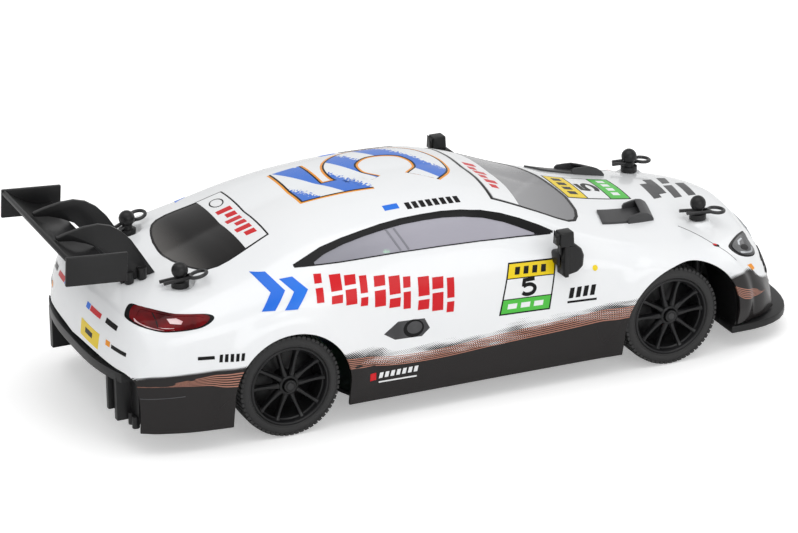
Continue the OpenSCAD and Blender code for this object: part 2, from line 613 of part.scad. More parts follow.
module kingpins() color(steel) translate([mid_x, 0, 0]) for (s = [-1, 1]) translate([fx, s * king_y, 0]) {
    translate([0, 0, ear_low]) cylinder(r = king_r, h = ear_high + ear_t - ear_low);
    translate([0, 0, ear_high + ear_t]) cylinder(r = king_r + 0.8, h = 1);
}

hub_in = tyre_w - 4;
hub_face = 2.4;
boss_r = 2.6;
stub_root = king_y + barrel_r - 0.6;
module knuckle_left() color(trim_black) translate([mid_x, 0, 0]) difference() {
    union() {
        translate([fx, king_y, barrel_low]) cylinder(r = barrel_r, h = barrel_high - barrel_low);
        translate([fx, king_y, wheel_z]) rotate([-90, 0, 0])
            cylinder(r = boss_r, h = wheel_out - hub_in - king_y - 2 * side_gap);
        translate([rack_x, king_y - 1.5, arm_z]) cube([steer_arm, 3, arm_t]);
        translate([rack_x, king_y, arm_z]) cylinder(r = 1.7, h = arm_t);
        translate([rack_x, king_y, arm_z]) cylinder(r = steer_pin_r, h = arm_t + 0.8 + rack_t + 0.5);
    }
    translate([fx, king_y, 0]) cylinder(r = king_r + run_gap, h = 60);
    translate([fx, stub_root, wheel_z]) rotate([-90, 0, 0]) cylinder(r = stub_r, h = 20);
}
module knuckle_right() color(trim_black) mirror([0, 1, 0]) knuckle_left();
nut_r = 2.6;
nut_t = 1.8;
module stub_axle_left() color(steel) translate([mid_x + fx, stub_root, wheel_z]) rotate([-90, 0, 0])
    cylinder(r = stub_r, h = wheel_out - hub_face + nut_t + 2 * side_gap - stub_root);
module stub_axle_right() color(steel) mirror([0, 1, 0]) stub_axle_left();
module nut(x, s, gap, bore_r) wheel_place(x, s) translate([0, 0, gap - hub_face]) difference() {
    cylinder(r = nut_r, h = nut_t);
    translate([0, 0, -1]) cylinder(r = bore_r, h = nut_t + 2);
}
module wheel_nut_front_left() color(trim_black) nut(fx, 1, side_gap, stub_r);
module wheel_nut_front_right() color(trim_black) nut(fx, -1, side_gap, stub_r);

module slot(x, back, front) translate([x, 0, -1]) {
    w = steer_pin_r + slot_gap;
    translate([-back, -w, 0]) cube([back + front, 2 * w, rack_t + 2]);
    for (d = [-back, front]) translate([d, 0, 0]) cylinder(r = w, h = rack_t + 2);
}
pad_half_y = 3.7;
pad_wall = 1.4;
pad_back = steer_pin_r + pad_wall + 0.3;
module pad(y, back, front) translate([rack_x - back, y - pad_half_y, rack_z])
    cube([back + front, 2 * pad_half_y, rack_t]);
module steering_rack() color(trim_black) translate([mid_x, 0, 0]) difference() {
    union() {
        translate([rack_x - rack_half_w, -king_y, rack_z]) cube([2 * rack_half_w, 2 * king_y, rack_t]);
        for (s = [-1, 1]) pad(s * king_y, pad_back, pad_back + pin_drift);
        pad(0, pad_back + pin_drift, pad_back);
    }
    for (s = [-1, 1]) translate([0, s * king_y, rack_z]) slot(rack_x, 0.2, pin_drift + 0.2);
    translate([0, 0, rack_z]) slot(rack_x, pin_drift + 0.2, 0.2);
}
servo_x = rack_x - steer_arm;
servo_top = arm_z - 0.5;
servo_shaft_r = 2;
module servo_case() color(trim_black) translate([mid_x, 0, 0]) difference() {
    union() {
        translate([servo_x - 15, -6, floor_top]) cube([20.5, 12, servo_top - floor_top]);
        translate([servo_x - 18, -6, floor_top]) cube([26, 12, 2.4]);
    }
    translate([servo_x, 0, servo_top - 4.2]) cylinder(r = servo_shaft_r + run_gap, h = 10);
}
module servo_horn() color("#d8d8d4") translate([mid_x + servo_x, 0, 0]) {
    translate([0, 0, servo_top - 4]) cylinder(r = servo_shaft_r, h = 4.5);
    translate([0, 0, arm_z]) cylinder(r = 3, h = arm_t);
    translate([0, -1.6, arm_z]) cube([steer_arm, 3.2, arm_t]);
    translate([steer_arm, 0, arm_z]) cylinder(r = 1.7, h = arm_t);
    translate([steer_arm, 0, arm_z]) cylinder(r = steer_pin_r, h = arm_t + 0.8 + rack_t + 0.5);
}

// ---- Wheels ----

module wheel_place(x, s) translate([mid_x + x, s * wheel_out, wheel_z]) rotate([-90 * s, 0, 0]) children();
pair_half_angle = 16;
module rim(x, s, bore_r) wheel_place(x, s) {
    difference() {
        translate([0, 0, 1 - tyre_w]) cylinder(r = rim_seat_r, h = tyre_w - 2, $fn = 72);
        translate([0, 0, -tyre_w]) cylinder(r = rim_seat_r - rim_wall, h = tyre_w, $fn = 72);
    }
    difference() {
        union() {
            translate([0, 0, -hub_in]) cylinder(r = hub_r, h = hub_in - hub_face);
            for (i = [0:spoke_pairs - 1]) for (t = [-1, 1]) rotate(i * 360 / spoke_pairs + t * pair_half_angle)
                translate([hub_r - 0.8, -spoke_w / 2, -hub_face - 2.8])
                    cube([rim_seat_r - rim_wall - hub_r + 1.4, spoke_w, 2.6]);
        }
        translate([0, 0, -tyre_w]) cylinder(r = bore_r, h = tyre_w);
    }
}
module rim_front_left() color(trim_black) rim(fx, 1, stub_r + run_gap);
module rim_front_right() color(trim_black) rim(fx, -1, stub_r + run_gap);
module rim_rear_left() color(trim_black) rim(rx, 1, axle_r);
module rim_rear_right() color(trim_black) rim(rx, -1, axle_r);

shoulder = 2.8;
notch_deep = 1;
notch_w = 0.9;
module tyre(x, s) wheel_place(x, s) difference() {
    rotate_extrude($fn = 72) polygon([
        [rim_seat_r, 1 - tyre_w], [rim_seat_r + 1.3, -tyre_w], [tyre_r - 1.4, 0.8 - tyre_w],
        [tyre_r, shoulder - tyre_w], [tyre_r, -shoulder], [tyre_r - 1.4, -0.8],
        [rim_seat_r + 1.3, 0], [rim_seat_r, -1]]);
    for (i = [0:tread_blocks - 1]) rotate(i * 360 / tread_blocks) for (z = [-tyre_w - 1, -shoulder - 0.8])
        translate([tyre_r - notch_deep, -notch_w / 2, z]) cube([2, notch_w, shoulder + 1.8]);
}
module tyre_front_left() color(rubber_black) tyre(fx, 1);
module tyre_front_right() color(rubber_black) tyre(fx, -1);
module tyre_rear_left() color(rubber_black) tyre(rx, 1);
module tyre_rear_right() color(rubber_black) tyre(rx, -1);

// ---- Rear drive ----

pressure_angle = 20;
addendum = 0.8 * gear_module;
dedendum = 1.15 * gear_module;
backlash = 0.12;
function pitch_r(n) = n * gear_module / 2;
function involute(base, r) = let(a = acos(min(1, base / r))) tan(a) * 180 / PI - a;
// Half the angle that a tooth takes at the radius r
function tooth_half(n, r) =
    let(base = pitch_r(n) * cos(pressure_angle), q = max(r, base))
    90 / n * (1 - backlash) + involute(base, pitch_r(n)) - involute(base, q);
function polar(r, a) = [r * cos(a), r * sin(a)];
module gear_outline(n, phase) {
    p = pitch_r(n);
    base = p * cos(pressure_angle);
    radii = [p - dedendum, max(base, p - dedendum + 0.02), p - 0.15, p + addendum / 2, p + addendum];
    polygon([for (i = [0:n - 1]) let(a = phase + i * 360 / n) each concat(
        [for (r = radii) polar(r, a - tooth_half(n, r))],
        [for (k = [len(radii) - 1:-1:0]) polar(radii[k], a + tooth_half(n, radii[k]))])]);
}
// A gear on the Y axis, from the height y to y + w
module gear(n, phase, y, w) translate([0, y + w, 0]) rotate([90, 0, 0])
    linear_extrude(height = w) gear_outline(n, phase);
module rod(r, y0, y1) translate([0, y0, 0]) rotate([-90, 0, 0]) cylinder(r = r, h = y1 - y0);

idler_lift = 35;
motor_drop = -25;
idler_gap = pitch_r(axle_teeth) + pitch_r(idler_pinion_teeth);
motor_gap = pitch_r(idler_teeth) + pitch_r(motor_teeth);
axle_at = [rx, wheel_z];
idler_at = axle_at + polar(idler_gap, idler_lift);
motor_at = idler_at + polar(motor_gap, motor_drop);
idler_shaft_r = 1.5;
motor_shaft_r = 1;
case_y = 9;
case_t = 2;
big_y = case_y + case_t + 2.5;
small_y = big_y + gear_w + 2;
cover_y = small_y + gear_w + 1.5;
cover_t = 1.5;
module at(p) translate([mid_x + p[0], 0, p[1]]) children();

module rear_axle() color(steel) at(axle_at) {
    rod(axle_r, hub_face - wheel_out, wheel_out - hub_face);
    rod(stub_r, hub_face - wheel_out - nut_t - 0.2, wheel_out - hub_face + nut_t + 0.2);
}
module wheel_nuts_rear() color(trim_black) for (s = [-1, 1]) nut(rx, s, 0, stub_r);
module axle_gear() color("#d8d8d4") at(axle_at) difference() {
    union() {
        gear(axle_teeth, idler_lift, small_y, gear_w);
        rod(axle_r + 2, small_y - 1.4, small_y + gear_w + 0.8);
    }
    rod(axle_r, -50, 50);
}
module idler_gear() color("#d8d8d4") at(idler_at) difference() {
    union() {
        gear(idler_pinion_teeth, idler_lift + 180 - 180 / idler_pinion_teeth, small_y, gear_w);
        gear(idler_teeth, motor_drop, big_y, gear_w);
        rod(idler_shaft_r + 1.2, big_y - 0.8, small_y + gear_w + 0.8);
    }
    rod(idler_shaft_r + run_gap, -50, 50);
}
module idler_shaft() color(steel) at(idler_at) rod(idler_shaft_r, case_y, cover_y + cover_t);
module motor_pinion() color(steel) at(motor_at) {
    gear(motor_teeth, motor_drop + 180 - 180 / motor_teeth, big_y - 0.5, gear_w + 1);
    rod(motor_shaft_r, case_y - 5, big_y + gear_w + 1);
}
module motor_can() color(steel) at(motor_at) difference() {
    union() {
        rod(motor_r, case_y - motor_len, case_y);
        rod(motor_r / 4, case_y - motor_len - 2, case_y - motor_len + 1);
    }
    rod(motor_shaft_r + run_gap, case_y - 5.2, case_y + 1);
}
module ring_outline(axle_round, idler_round, motor_round) hull() {
    translate(axle_at) circle(r = axle_round);
    translate(idler_at) circle(r = idler_round);
    translate(motor_at) circle(r = motor_round);
}
module slab(y0, y1) translate([mid_x, y1, 0]) rotate([90, 0, 0]) linear_extrude(height = y1 - y0) children();
cavity_axle_r = pitch_r(axle_teeth) + addendum + 0.35;
cavity_idler_r = pitch_r(idler_teeth) + addendum + 0.6;
cavity_motor_r = pitch_r(motor_teeth) + addendum + 1;
box_wall = 1.2;
module gearbox_case() color(trim_black) difference() {
    union() {
        slab(case_y, case_y + case_t) intersection() {
            ring_outline(cavity_axle_r + box_wall, cavity_idler_r + box_wall, motor_r);
            translate([rx - 40, floor_top]) square([80, 60]);
        }
        translate([mid_x + rx - 10, case_y - 3, floor_top]) cube([40, 3 + case_t, 1.8]);
    }
    at(axle_at) rod(axle_r + run_gap, 0, 40);
    at(idler_at) rod(idler_shaft_r, 0, 40);
    at(motor_at) rod(pitch_r(motor_teeth) + addendum + 0.3, 0, 40);
    at(motor_at) rod(motor_r + 0.05, 0, case_y);
}
module gearbox_cover() color(trim_black) difference() {
    slab(case_y + case_t, cover_y + cover_t) intersection() {
        ring_outline(cavity_axle_r + box_wall, cavity_idler_r + box_wall, cavity_motor_r + box_wall);
        translate([rx - 40, floor_top]) square([80, 60]);
    }
    slab(case_y, cover_y) ring_outline(cavity_axle_r, cavity_idler_r, cavity_motor_r);
    at(axle_at) rod(axle_r + run_gap, 0, 40);
    at(idler_at) rod(idler_shaft_r, 0, 40);
}
carrier_y = 31;
carrier_t = 4;
bearing_r = 4.4;
module axle_carriers() color(trim_black) for (s = [-1, 1]) difference() {
    translate([mid_x + rx - 7, s * carrier_y - carrier_t / 2, floor_top])
        cube([14, carrier_t, wheel_z + 7 - floor_top]);
    at(axle_at) rod(bearing_r, s * carrier_y - carrier_t, s * carrier_y + carrier_t);
}
module axle_bearings() color(steel) for (s = [-1, 1]) at(axle_at) difference() {
    rod(bearing_r, s * carrier_y - carrier_t / 2, s * carrier_y + carrier_t / 2);
    rod(axle_r + run_gap, s * carrier_y - carrier_t, s * carrier_y + carrier_t);
}

// ---- Battery and electronics ----

battery_x = -battery_len / 2 - 2;
battery_y = -10;
module battery_pack() color("#3b6ea8") translate([mid_x + battery_x, battery_y - battery_w, floor_top])
    cube([battery_len, battery_w, battery_h]);
strap_w = 9;
strap_t = 1.6;
module battery_strap() color(trim_black)
    translate([mid_x - 6, battery_y - battery_w - strap_t, floor_top]) difference() {
    cube([strap_w, battery_w + 2 * strap_t, battery_h + strap_t]);
    translate([-1, strap_t, -1]) cube([strap_w + 2, battery_w, battery_h + 1]);
}
box_x = -28;
box_len = 50;
box_y = 14;
box_w = 30;
box_h = 22;
module circuit_box() color("#3a3c40") translate([mid_x + box_x, box_y, floor_top])
    cube([box_len, box_w, box_h]);
module status_led() color("#3fdc6a") translate([mid_x - 6.5, 27, floor_top + box_h]) {
    cylinder(r = 1.5, h = 3, $fn = 24);
    translate([0, 0, 3]) sphere(r = 1.5, $fn = 24);
}
switch_x = 30;
switch_y = 36;
knob_len = 4;
module switch_body() color(trim_black) translate([mid_x + switch_x, switch_y - 3, floor_top]) difference() {
    cube([14, 6, 6]);
    translate([7 - knob_len / 2 - side_gap - switch_travel / 2, 1.4, 4])
        cube([knob_len + 2 * side_gap + switch_travel, 3.2, 4]);
}
module switch_knob() color("#c8281e")
    translate([mid_x + switch_x + 7 - knob_len / 2 - switch_travel / 2, switch_y - 1.5, floor_top + 4.05])
    cube([knob_len, 3, 3.8]);

// ---- Body posts and clips ----

module post(x, y, seat) translate([x, y, 0]) difference() {
    union() {
        translate([0, 0, floor_top]) cylinder(r = post_r, h = ball_z(seat) - floor_top);
        translate([0, 0, floor_top]) cylinder(r = post_foot_r, h = 4);
        translate([0, 0, seat - shell_wall - seat_gap - 2]) cylinder(r = cup_r, h = 2);
        translate([0, 0, seat + seat_gap]) cylinder(r = cup_r, h = cup_h - seat_gap);
        translate([0, 0, ball_z(seat)]) sphere(r = ball_r);
    }
    children();
}
front_clip_yaw = 5;
front_clip_pitch = -4;
rear_clip_yaw = 24;
rear_clip_pitch = 14;
module clip_place(x, y, seat, yaw, pitch)
    translate([x, y, clip_z(seat)]) rotate([0, 0, yaw]) rotate([0, -pitch, 0]) children();
module clip_hole(x, y, seat, yaw, pitch) clip_place(x, y, seat, yaw, pitch)
    rotate([0, 90, 0]) cylinder(r = clip_wire_r + run_gap, h = 20, center = true);
module body_posts_front() color(trim_black) translate([mid_x, 0, 0]) for (s = [-1, 1]) difference() {
    post(front_post_x, s * front_post_y, front_seat_z);
    clip_hole(front_post_x, s * front_post_y, front_seat_z, s * front_clip_yaw, front_clip_pitch);
}
module body_posts_rear() color(trim_black) translate([mid_x, 0, 0]) for (s = [-1, 1]) difference() {
    post(rear_post_x, s * rear_post_y, rear_seat_z);
    clip_hole(rear_post_x, s * rear_post_y, rear_seat_z, s * rear_clip_yaw, rear_clip_pitch);
}
clip_ring_r = 3.4;
// A body clip in its own frame: x points to the finger ring, and one leg lies on the x axis
module clip_wire(s) {
    back = clip_ring_x - sqrt(clip_ring_r ^ 2 - (clip_side / 2) ^ 2);
    translate([-clip_leg, 0, 0]) rotate([0, 90, 0]) cylinder(r = clip_wire_r, h = clip_leg + back, $fn = 24);
    translate([2 - clip_leg, s * clip_side, 0]) rotate([0, 90, 0])
        cylinder(r = clip_wire_r, h = clip_leg + back - 2, $fn = 24);
    translate([clip_ring_x, s * clip_side / 2, 0]) rotate_extrude($fn = 36)
        translate([clip_ring_r, 0]) circle(r = clip_wire_r, $fn = 24);
}
module clip_front(s) translate([mid_x, 0, 0])
    clip_place(front_post_x, s * front_post_y, front_seat_z, s * front_clip_yaw, front_clip_pitch) clip_wire(s);
module clip_rear(s) translate([mid_x, 0, 0])
    clip_place(rear_post_x, s * rear_post_y, rear_seat_z, s * rear_clip_yaw, rear_clip_pitch) clip_wire(s);
module body_clip_front_left() color(trim_black) clip_front(1);
module body_clip_front_right() color(trim_black) clip_front(-1);
module body_clip_rear_left() color(trim_black) clip_rear(1);
module body_clip_rear_right() color(trim_black) clip_rear(-1);

body_shell();
windscreen();
rear_window();
side_window_left();
side_window_right();
front_splitter();
rear_diffuser();
wing_blade();
wing_endplate_left();
wing_endplate_right();
wing_upright_left();
wing_upright_right();
mirror_left();
mirror_right();
bonnet_vent_left();
bonnet_vent_right();
chassis_pan();
front_beam();
knuckle_left();
knuckle_right();
kingpins();
steering_rack();
servo_case();
servo_horn();
stub_axle_left();
stub_axle_right();
wheel_nut_front_left();
wheel_nut_front_right();
rim_front_left();
rim_front_right();
rim_rear_left();
rim_rear_right();
tyre_front_left();
tyre_front_right();
tyre_rear_left();
tyre_rear_right();
rear_axle();
wheel_nuts_rear();
axle_gear();
idler_gear();
idler_shaft();
motor_can();
motor_pinion();
gearbox_case();
gearbox_cover();
axle_carriers();
axle_bearings();
battery_pack();
battery_strap();
circuit_box();
status_led();
switch_body();
switch_knob();
body_posts_front();
body_posts_rear();
body_clip_front_left();
body_clip_front_right();
body_clip_rear_left();
body_clip_rear_right();
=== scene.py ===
import json
import math
import bpy
import bmesh
from mathutils import Matrix, Vector
from mathutils.bvhtree import BVHTree


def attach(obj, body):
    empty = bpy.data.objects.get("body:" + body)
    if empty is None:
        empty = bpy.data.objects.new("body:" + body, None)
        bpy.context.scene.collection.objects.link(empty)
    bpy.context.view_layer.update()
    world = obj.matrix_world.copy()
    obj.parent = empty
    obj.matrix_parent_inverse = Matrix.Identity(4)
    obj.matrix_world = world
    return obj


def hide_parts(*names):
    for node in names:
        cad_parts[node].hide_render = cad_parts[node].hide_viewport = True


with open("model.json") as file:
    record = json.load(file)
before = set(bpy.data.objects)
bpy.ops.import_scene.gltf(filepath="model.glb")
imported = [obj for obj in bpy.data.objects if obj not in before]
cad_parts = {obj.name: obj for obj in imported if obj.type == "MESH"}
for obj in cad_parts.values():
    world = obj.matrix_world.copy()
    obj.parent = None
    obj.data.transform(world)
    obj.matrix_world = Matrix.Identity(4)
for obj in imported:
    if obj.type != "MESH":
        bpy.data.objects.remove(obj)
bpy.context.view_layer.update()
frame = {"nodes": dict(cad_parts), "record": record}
nodes = frame["nodes"]
bpy.ops.object.select_all(action="DESELECT")

mm = 0.001
midX = 8.3          # middle of the wheelbase ahead of the frame's origin, in mm
halfBase = 86.5     # half the wheelbase
wheelZ = 22.0       # height of the wheels' axes


def spot(x, y, z):
    return Vector(((x + midX) * mm, y * mm, z * mm))


# ways of working that every piece uses

def pick(piece):
    bpy.ops.object.select_all(action="DESELECT")
    piece.select_set(True)
    bpy.context.view_layer.objects.active = piece


def modify(piece, kind, **settings):
    pick(piece)
    bpy.ops.object.modifier_add(type=kind)
    step = piece.modifiers[-1]
    for key, value in settings.items():
        setattr(step, key, value)
    bpy.ops.object.modifier_apply(modifier=step.name)


def settle(piece):
    # the place goes into the mesh, and the object stays at the origin
    pick(piece)
    bpy.ops.object.transform_apply(location=True, rotation=True, scale=True)


def smooth(piece, angle=40):
    pick(piece)
    bpy.ops.object.shade_smooth_by_angle(angle=math.radians(angle))


def linked(name, data):
    piece = bpy.data.objects.new(name, data)
    bpy.context.collection.objects.link(piece)
    return piece


def copied(pattern, name):
    piece = pattern.copy()
    piece.data = pattern.data.copy()
    bpy.context.collection.objects.link(piece)
    piece.name = piece.data.name = name
    return piece


def meshPiece(name, points, faces, edges=()):
    data = bpy.data.meshes.new(name)
    data.from_pydata([tuple(p) for p in points], list(edges), faces)
    return linked(name, data)


def workPiece(name, work):
    data = bpy.data.meshes.new(name)
    work.to_mesh(data)
    work.free()
    return linked(name, data)


def wholeMesh(piece, *steps):
    # mesh operators, each with its settings, on all of the piece
    pick(piece)
    bpy.ops.object.mode_set(mode="EDIT")
    bpy.ops.mesh.select_all(action="SELECT")
    for operator, settings in steps:
        operator(**settings)
    bpy.ops.object.mode_set(mode="OBJECT")


def tidyMesh(piece, gap=0.002 * mm):
    # doubles merged and faces turned outwards
    wholeMesh(piece, (bpy.ops.mesh.remove_doubles, {"threshold": gap}),
              (bpy.ops.mesh.normals_make_consistent, {"inside": False}))


def eased(piece, width, angle, segments=2):
    # edges sharper than the angle are rounded off
    modify(piece, "BEVEL", width=width * mm, segments=segments, limit_method="ANGLE",
           angle_limit=math.radians(angle))


def joined(name, pieces):
    bpy.ops.object.select_all(action="DESELECT")
    for piece in pieces:
        piece.select_set(True)
    bpy.context.view_layer.objects.active = pieces[0]
    if len(pieces) > 1:
        bpy.ops.object.join()
    whole = bpy.context.view_layer.objects.active
    whole.name = name
    whole.data.name = name
    return whole


def finished(piece, finish, slot, body, *replaced):
    piece.data.materials.clear()
    piece.data.materials.append(finishes[finish])
    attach(piece, body)
    if replaced:
        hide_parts(*replaced)
    return piece


def axes(view, a, b, depth):
    # a point of an outline drawn in plan, from the side or from the end
    if view == "plan":
        return spot(a, b, depth)
    if view == "side":
        return spot(a, depth, b)
    return spot(depth, a, b)


def prism(name, outline, view, low, high):
    # the outline as a face, drawn out to its depth
    piece = meshPiece(name, [axes(view, a, b, low) for a, b in outline], [list(range(len(outline)))])
    way = axes(view, 0, 0, high) - axes(view, 0, 0, low)
    wholeMesh(piece, (bpy.ops.mesh.extrude_region_move, {"TRANSFORM_OT_translate": {"value": way}}))
    tidyMesh(piece)
    return piece


def cutAway(piece, cutter):
    modify(piece, "BOOLEAN", object=cutter, operation="DIFFERENCE", solver="EXACT")
    bpy.data.objects.remove(cutter, do_unlink=True)


def spun(name, profile, steps):
    # a closed outline of (radius, height) spun round Z
    n = len(profile)
    piece = meshPiece(name, [(r * mm, 0, z * mm) for r, z in profile], [], [(i, (i + 1) % n) for i in range(n)])
    wholeMesh(piece, (bpy.ops.mesh.spin, {"steps": steps, "angle": 2 * math.pi, "center": (0, 0, 0),
                                          "axis": (0, 0, 1)}))
    tidyMesh(piece)
    return piece


def arcOf(cx, cz, radius, degrees):
    return [(cx + radius * math.cos(math.radians(a)), cz + radius * math.sin(math.radians(a))) for a in degrees]


def mirrored(half, middle=()):
    # half an outline in plan, the points on the car's middle, and the other half
    return half + list(middle) + [(x, -y) for x, y in reversed(half)]


def handed(outline, side, view="end"):
    # an outline drawn for one side of the car, for this side
    return [(a * side, b) if view == "end" else (a, b * side) for a, b in outline]


def shifted(outline, by):
    return [(a + by, b) for a, b in outline]


sideNames = {1: "left", -1: "right"}


def chosen(piece, test):
    # edit mode, with only the faces selected whose middle and normal pass the test
    pick(piece)
    bpy.ops.object.mode_set(mode="EDIT")
    bpy.ops.mesh.select_mode(type="FACE")
    bpy.ops.mesh.select_all(action="DESELECT")
    bpy.ops.object.mode_set(mode="OBJECT")
    for face in piece.data.polygons:
        face.select = bool(test(face.center, face.normal))
    bpy.ops.object.mode_set(mode="EDIT")


def sunk(piece, test, border, depth):
    # a panel let into the chosen faces
    chosen(piece, test)
    bpy.ops.mesh.inset(thickness=border * mm)
    bpy.ops.mesh.extrude_region_shrink_fatten(TRANSFORM_OT_shrink_fatten={"value": -depth * mm})
    bpy.ops.object.mode_set(mode="OBJECT")


print("camera")
cameraSet = {"azimuth": -24.12, "elevation": 22.35, "distance": 1.4625, "aim": (midX * mm, 0, 0.030),
             "lens": 155.12, "shiftX": -0.0338, "shiftY": 0.0204, "roll": -0.26}
az, el = math.radians(cameraSet["azimuth"]), math.radians(cameraSet["elevation"])
back = Vector((math.sin(az) * math.cos(el), -math.cos(az) * math.cos(el), math.sin(el)))
right = Vector((math.cos(az), math.sin(az), 0))
turned = Matrix((right, back.cross(right), back)).transposed().to_4x4()
bpy.ops.object.camera_add()
camera = bpy.context.object
camera.matrix_world = (Matrix.Translation(Vector(cameraSet["aim"]) + back * cameraSet["distance"]) @ turned
                       @ Matrix.Rotation(math.radians(cameraSet["roll"]), 4, "Z"))
camera.data.sensor_width = 36
camera.data.lens = cameraSet["lens"]
camera.data.shift_x = cameraSet["shiftX"]
camera.data.shift_y = cameraSet["shiftY"]
camera.data.clip_start = 0.05
bpy.context.scene.camera = camera
bpy.context.scene.view_settings.view_transform = "Standard"


print("finishes")


def groupNode(name, inputs, outputs):
    group = bpy.data.node_groups.new(name, "ShaderNodeTree")
    for label, kind, value in inputs:
        socket = group.interface.new_socket(label, in_out="INPUT", socket_type=kind)
        if value is not None:
            socket.default_value = value
    for label, kind in outputs:
        group.interface.new_socket(label, in_out="OUTPUT", socket_type=kind)
    return group, group.nodes.new("NodeGroupInput"), group.nodes.new("NodeGroupOutput")


def fill(tree, node, inputs):
    # an input takes a plain value or another node's output
    for label, value in inputs.items():
        if isinstance(value, bpy.types.NodeSocket):
            tree.links.new(value, node.inputs[label])
        else:
            node.inputs[label].default_value = value


def addNode(tree, kind, inputs=None, **settings):
    node = tree.nodes.new(kind)
    for key, value in settings.items():
        setattr(node, key, value)
    fill(tree, node, inputs or {})
    return node.outputs


def calc(tree, operation, *values):
    return addNode(tree, "ShaderNodeMath", dict(enumerate(values)), operation=operation)[0]


def blended(tree, share, first, second):
    return addNode(tree, "ShaderNodeMix", {"Factor": share, "A": first, "B": second}, data_type="RGBA")["Result"]


def grainGroup():
    # fine moulded grain: height for a bump, and roughness that wanders a little
    group, given, out = groupNode(
        "mouldedGrain",
        [("Scale", "NodeSocketFloat", 900.0), ("Roughness", "NodeSocketFloat", 0.5),
         ("Wander", "NodeSocketFloat", 0.08)],
        [("Height", "NodeSocketFloat"), ("Roughness", "NodeSocketFloat")])
    place = addNode(group, "ShaderNodeTexCoord")["Object"]
    fine = addNode(group, "ShaderNodeTexNoise", {"Detail": 3, "Vector": place, "Scale": given.outputs["Scale"]})
    broad = addNode(group, "ShaderNodeTexNoise", {"Scale": 45, "Detail": 4, "Vector": place})
    spread = calc(group, "MULTIPLY_ADD", calc(group, "SUBTRACT", broad["Fac"], 0.5), given.outputs["Wander"],
                  given.outputs["Roughness"])
    fill(group, out, {"Height": fine["Fac"], "Roughness": spread})
    return group


def colourGroup(name, extras, shareOf):
    # two colours, and a rule for how much of the second shows at each place
    group, given, out = groupNode(
        name, [("Colour", "NodeSocketColor", None), ("Other", "NodeSocketColor", None),
               *((label, "NodeSocketFloat", value) for label, value in extras.items())],
        [("Colour", "NodeSocketColor")])
    place = addNode(group, "ShaderNodeTexCoord")["Object"]
    share = shareOf(group, given.outputs, place)
    fill(group, out, {"Colour": blended(group, share, given.outputs["Colour"], given.outputs["Other"])})
    return group


def cloudShare(group, given, place):
    # slow drift between a colour and a paler or darker one, as on handled plastic
    cloud = addNode(group, "ShaderNodeTexNoise", {"Detail": 5, "Vector": place, "Scale": given["Scale"]})
    limits = {"Value": cloud["Fac"], "From Min": 0.35, "From Max": 0.7}
    return addNode(group, "ShaderNodeMapRange", limits)["Result"]


def bandShare(group, given, place):
    # bands that lean across the roof, with a speckled change between them
    lean, speckle = 0.45, 0.5
    split = addNode(group, "ShaderNodeSeparateXYZ", {0: place})
    run = calc(group, "MULTIPLY_ADD", split["Y"], lean, split["X"])
    part = calc(group, "FRACT", calc(group, "DIVIDE", run, given["Pitch"]))
    cells = addNode(group, "ShaderNodeTexNoise", {"Scale": 900, "Detail": 1, "Vector": place})
    rough = calc(group, "MULTIPLY_ADD", cells["Fac"], speckle, part)
    return calc(group, "LESS_THAN", calc(group, "SUBTRACT", rough, speckle / 2), given["Share"])


def lengthShare(group, given, place):
    # one colour turns into the other along the car: on the window panes this is painted reflection and shade
    split = addNode(group, "ShaderNodeSeparateXYZ", {0: place})
    limits = {"Value": split["X"], "From Min": given["Start"], "From Max": given["End"]}
    return addNode(group, "ShaderNodeMapRange", limits, interpolation_type="SMOOTHSTEP")["Result"]


grain = grainGroup()
drift = colourGroup("colourDrift", {"Scale": 30.0}, cloudShare)
bands = colourGroup("leaningBands", {"Pitch": 0.02, "Share": 0.5}, bandShare)
paneReflectionFades = colourGroup("paneReflectionFade", {"Start": 0.0, "End": 0.1}, lengthShare)
finishes = {}


def nodeMaterial(name):
    finish = bpy.data.materials.new(name)
    finish.use_nodes = True
    return finish, finish.node_tree, finish.node_tree.nodes["Principled BSDF"]


def material(name, colour, other, roughness, wander=0.06, scale=900, bump=0.00002, metallic=0.0, coat=0.0,
             driftScale=30.0, alpha=1.0, glow=None, gloss=0.5):
    finish, tree, shader = nodeMaterial(name)
    tint = addNode(tree, "ShaderNodeGroup", {"Colour": (*colour, 1), "Other": (*other, 1), "Scale": driftScale},
                   node_tree=drift)
    skin = addNode(tree, "ShaderNodeGroup", {"Scale": scale, "Roughness": roughness, "Wander": wander},
                   node_tree=grain)
    relief = addNode(tree, "ShaderNodeBump", {"Distance": bump, "Strength": 1.0, "Height": skin["Height"]})
    fill(tree, shader, {"Base Color": tint["Colour"], "Roughness": skin["Roughness"], "Normal": relief["Normal"],
                        "Metallic": metallic, "Coat Weight": coat, "Coat Roughness": 0.06,
                        "Specular IOR Level": gloss, "Alpha": alpha})
    if glow:
        fill(tree, shader, {"Emission Color": (*glow[0], 1), "Emission Strength": glow[1]})
    finishes[name] = finish
    return tree, shader


def twoColour(parts, group, colour, other, extras):
    # a finish takes the group's colours instead of the plain drift
    tree, shader = parts
    node = addNode(tree, "ShaderNodeGroup", {"Colour": (*colour, 1), "Other": (*other, 1), **extras},
                   node_tree=group)
    fill(tree, shader, {"Base Color": node["Colour"]})


def paneWithPaintedReflection(name, colour, other, start, end, alpha):
    # a smoked pane whose colour changes along the car as painted reflection and shade
    twoColour(material(name, colour, other, 0.10, wander=0.03, alpha=alpha, driftScale=12, gloss=0.2), paneReflectionFades,
              colour, other, {"Start": (start + midX) * mm, "End": (end + midX) * mm})


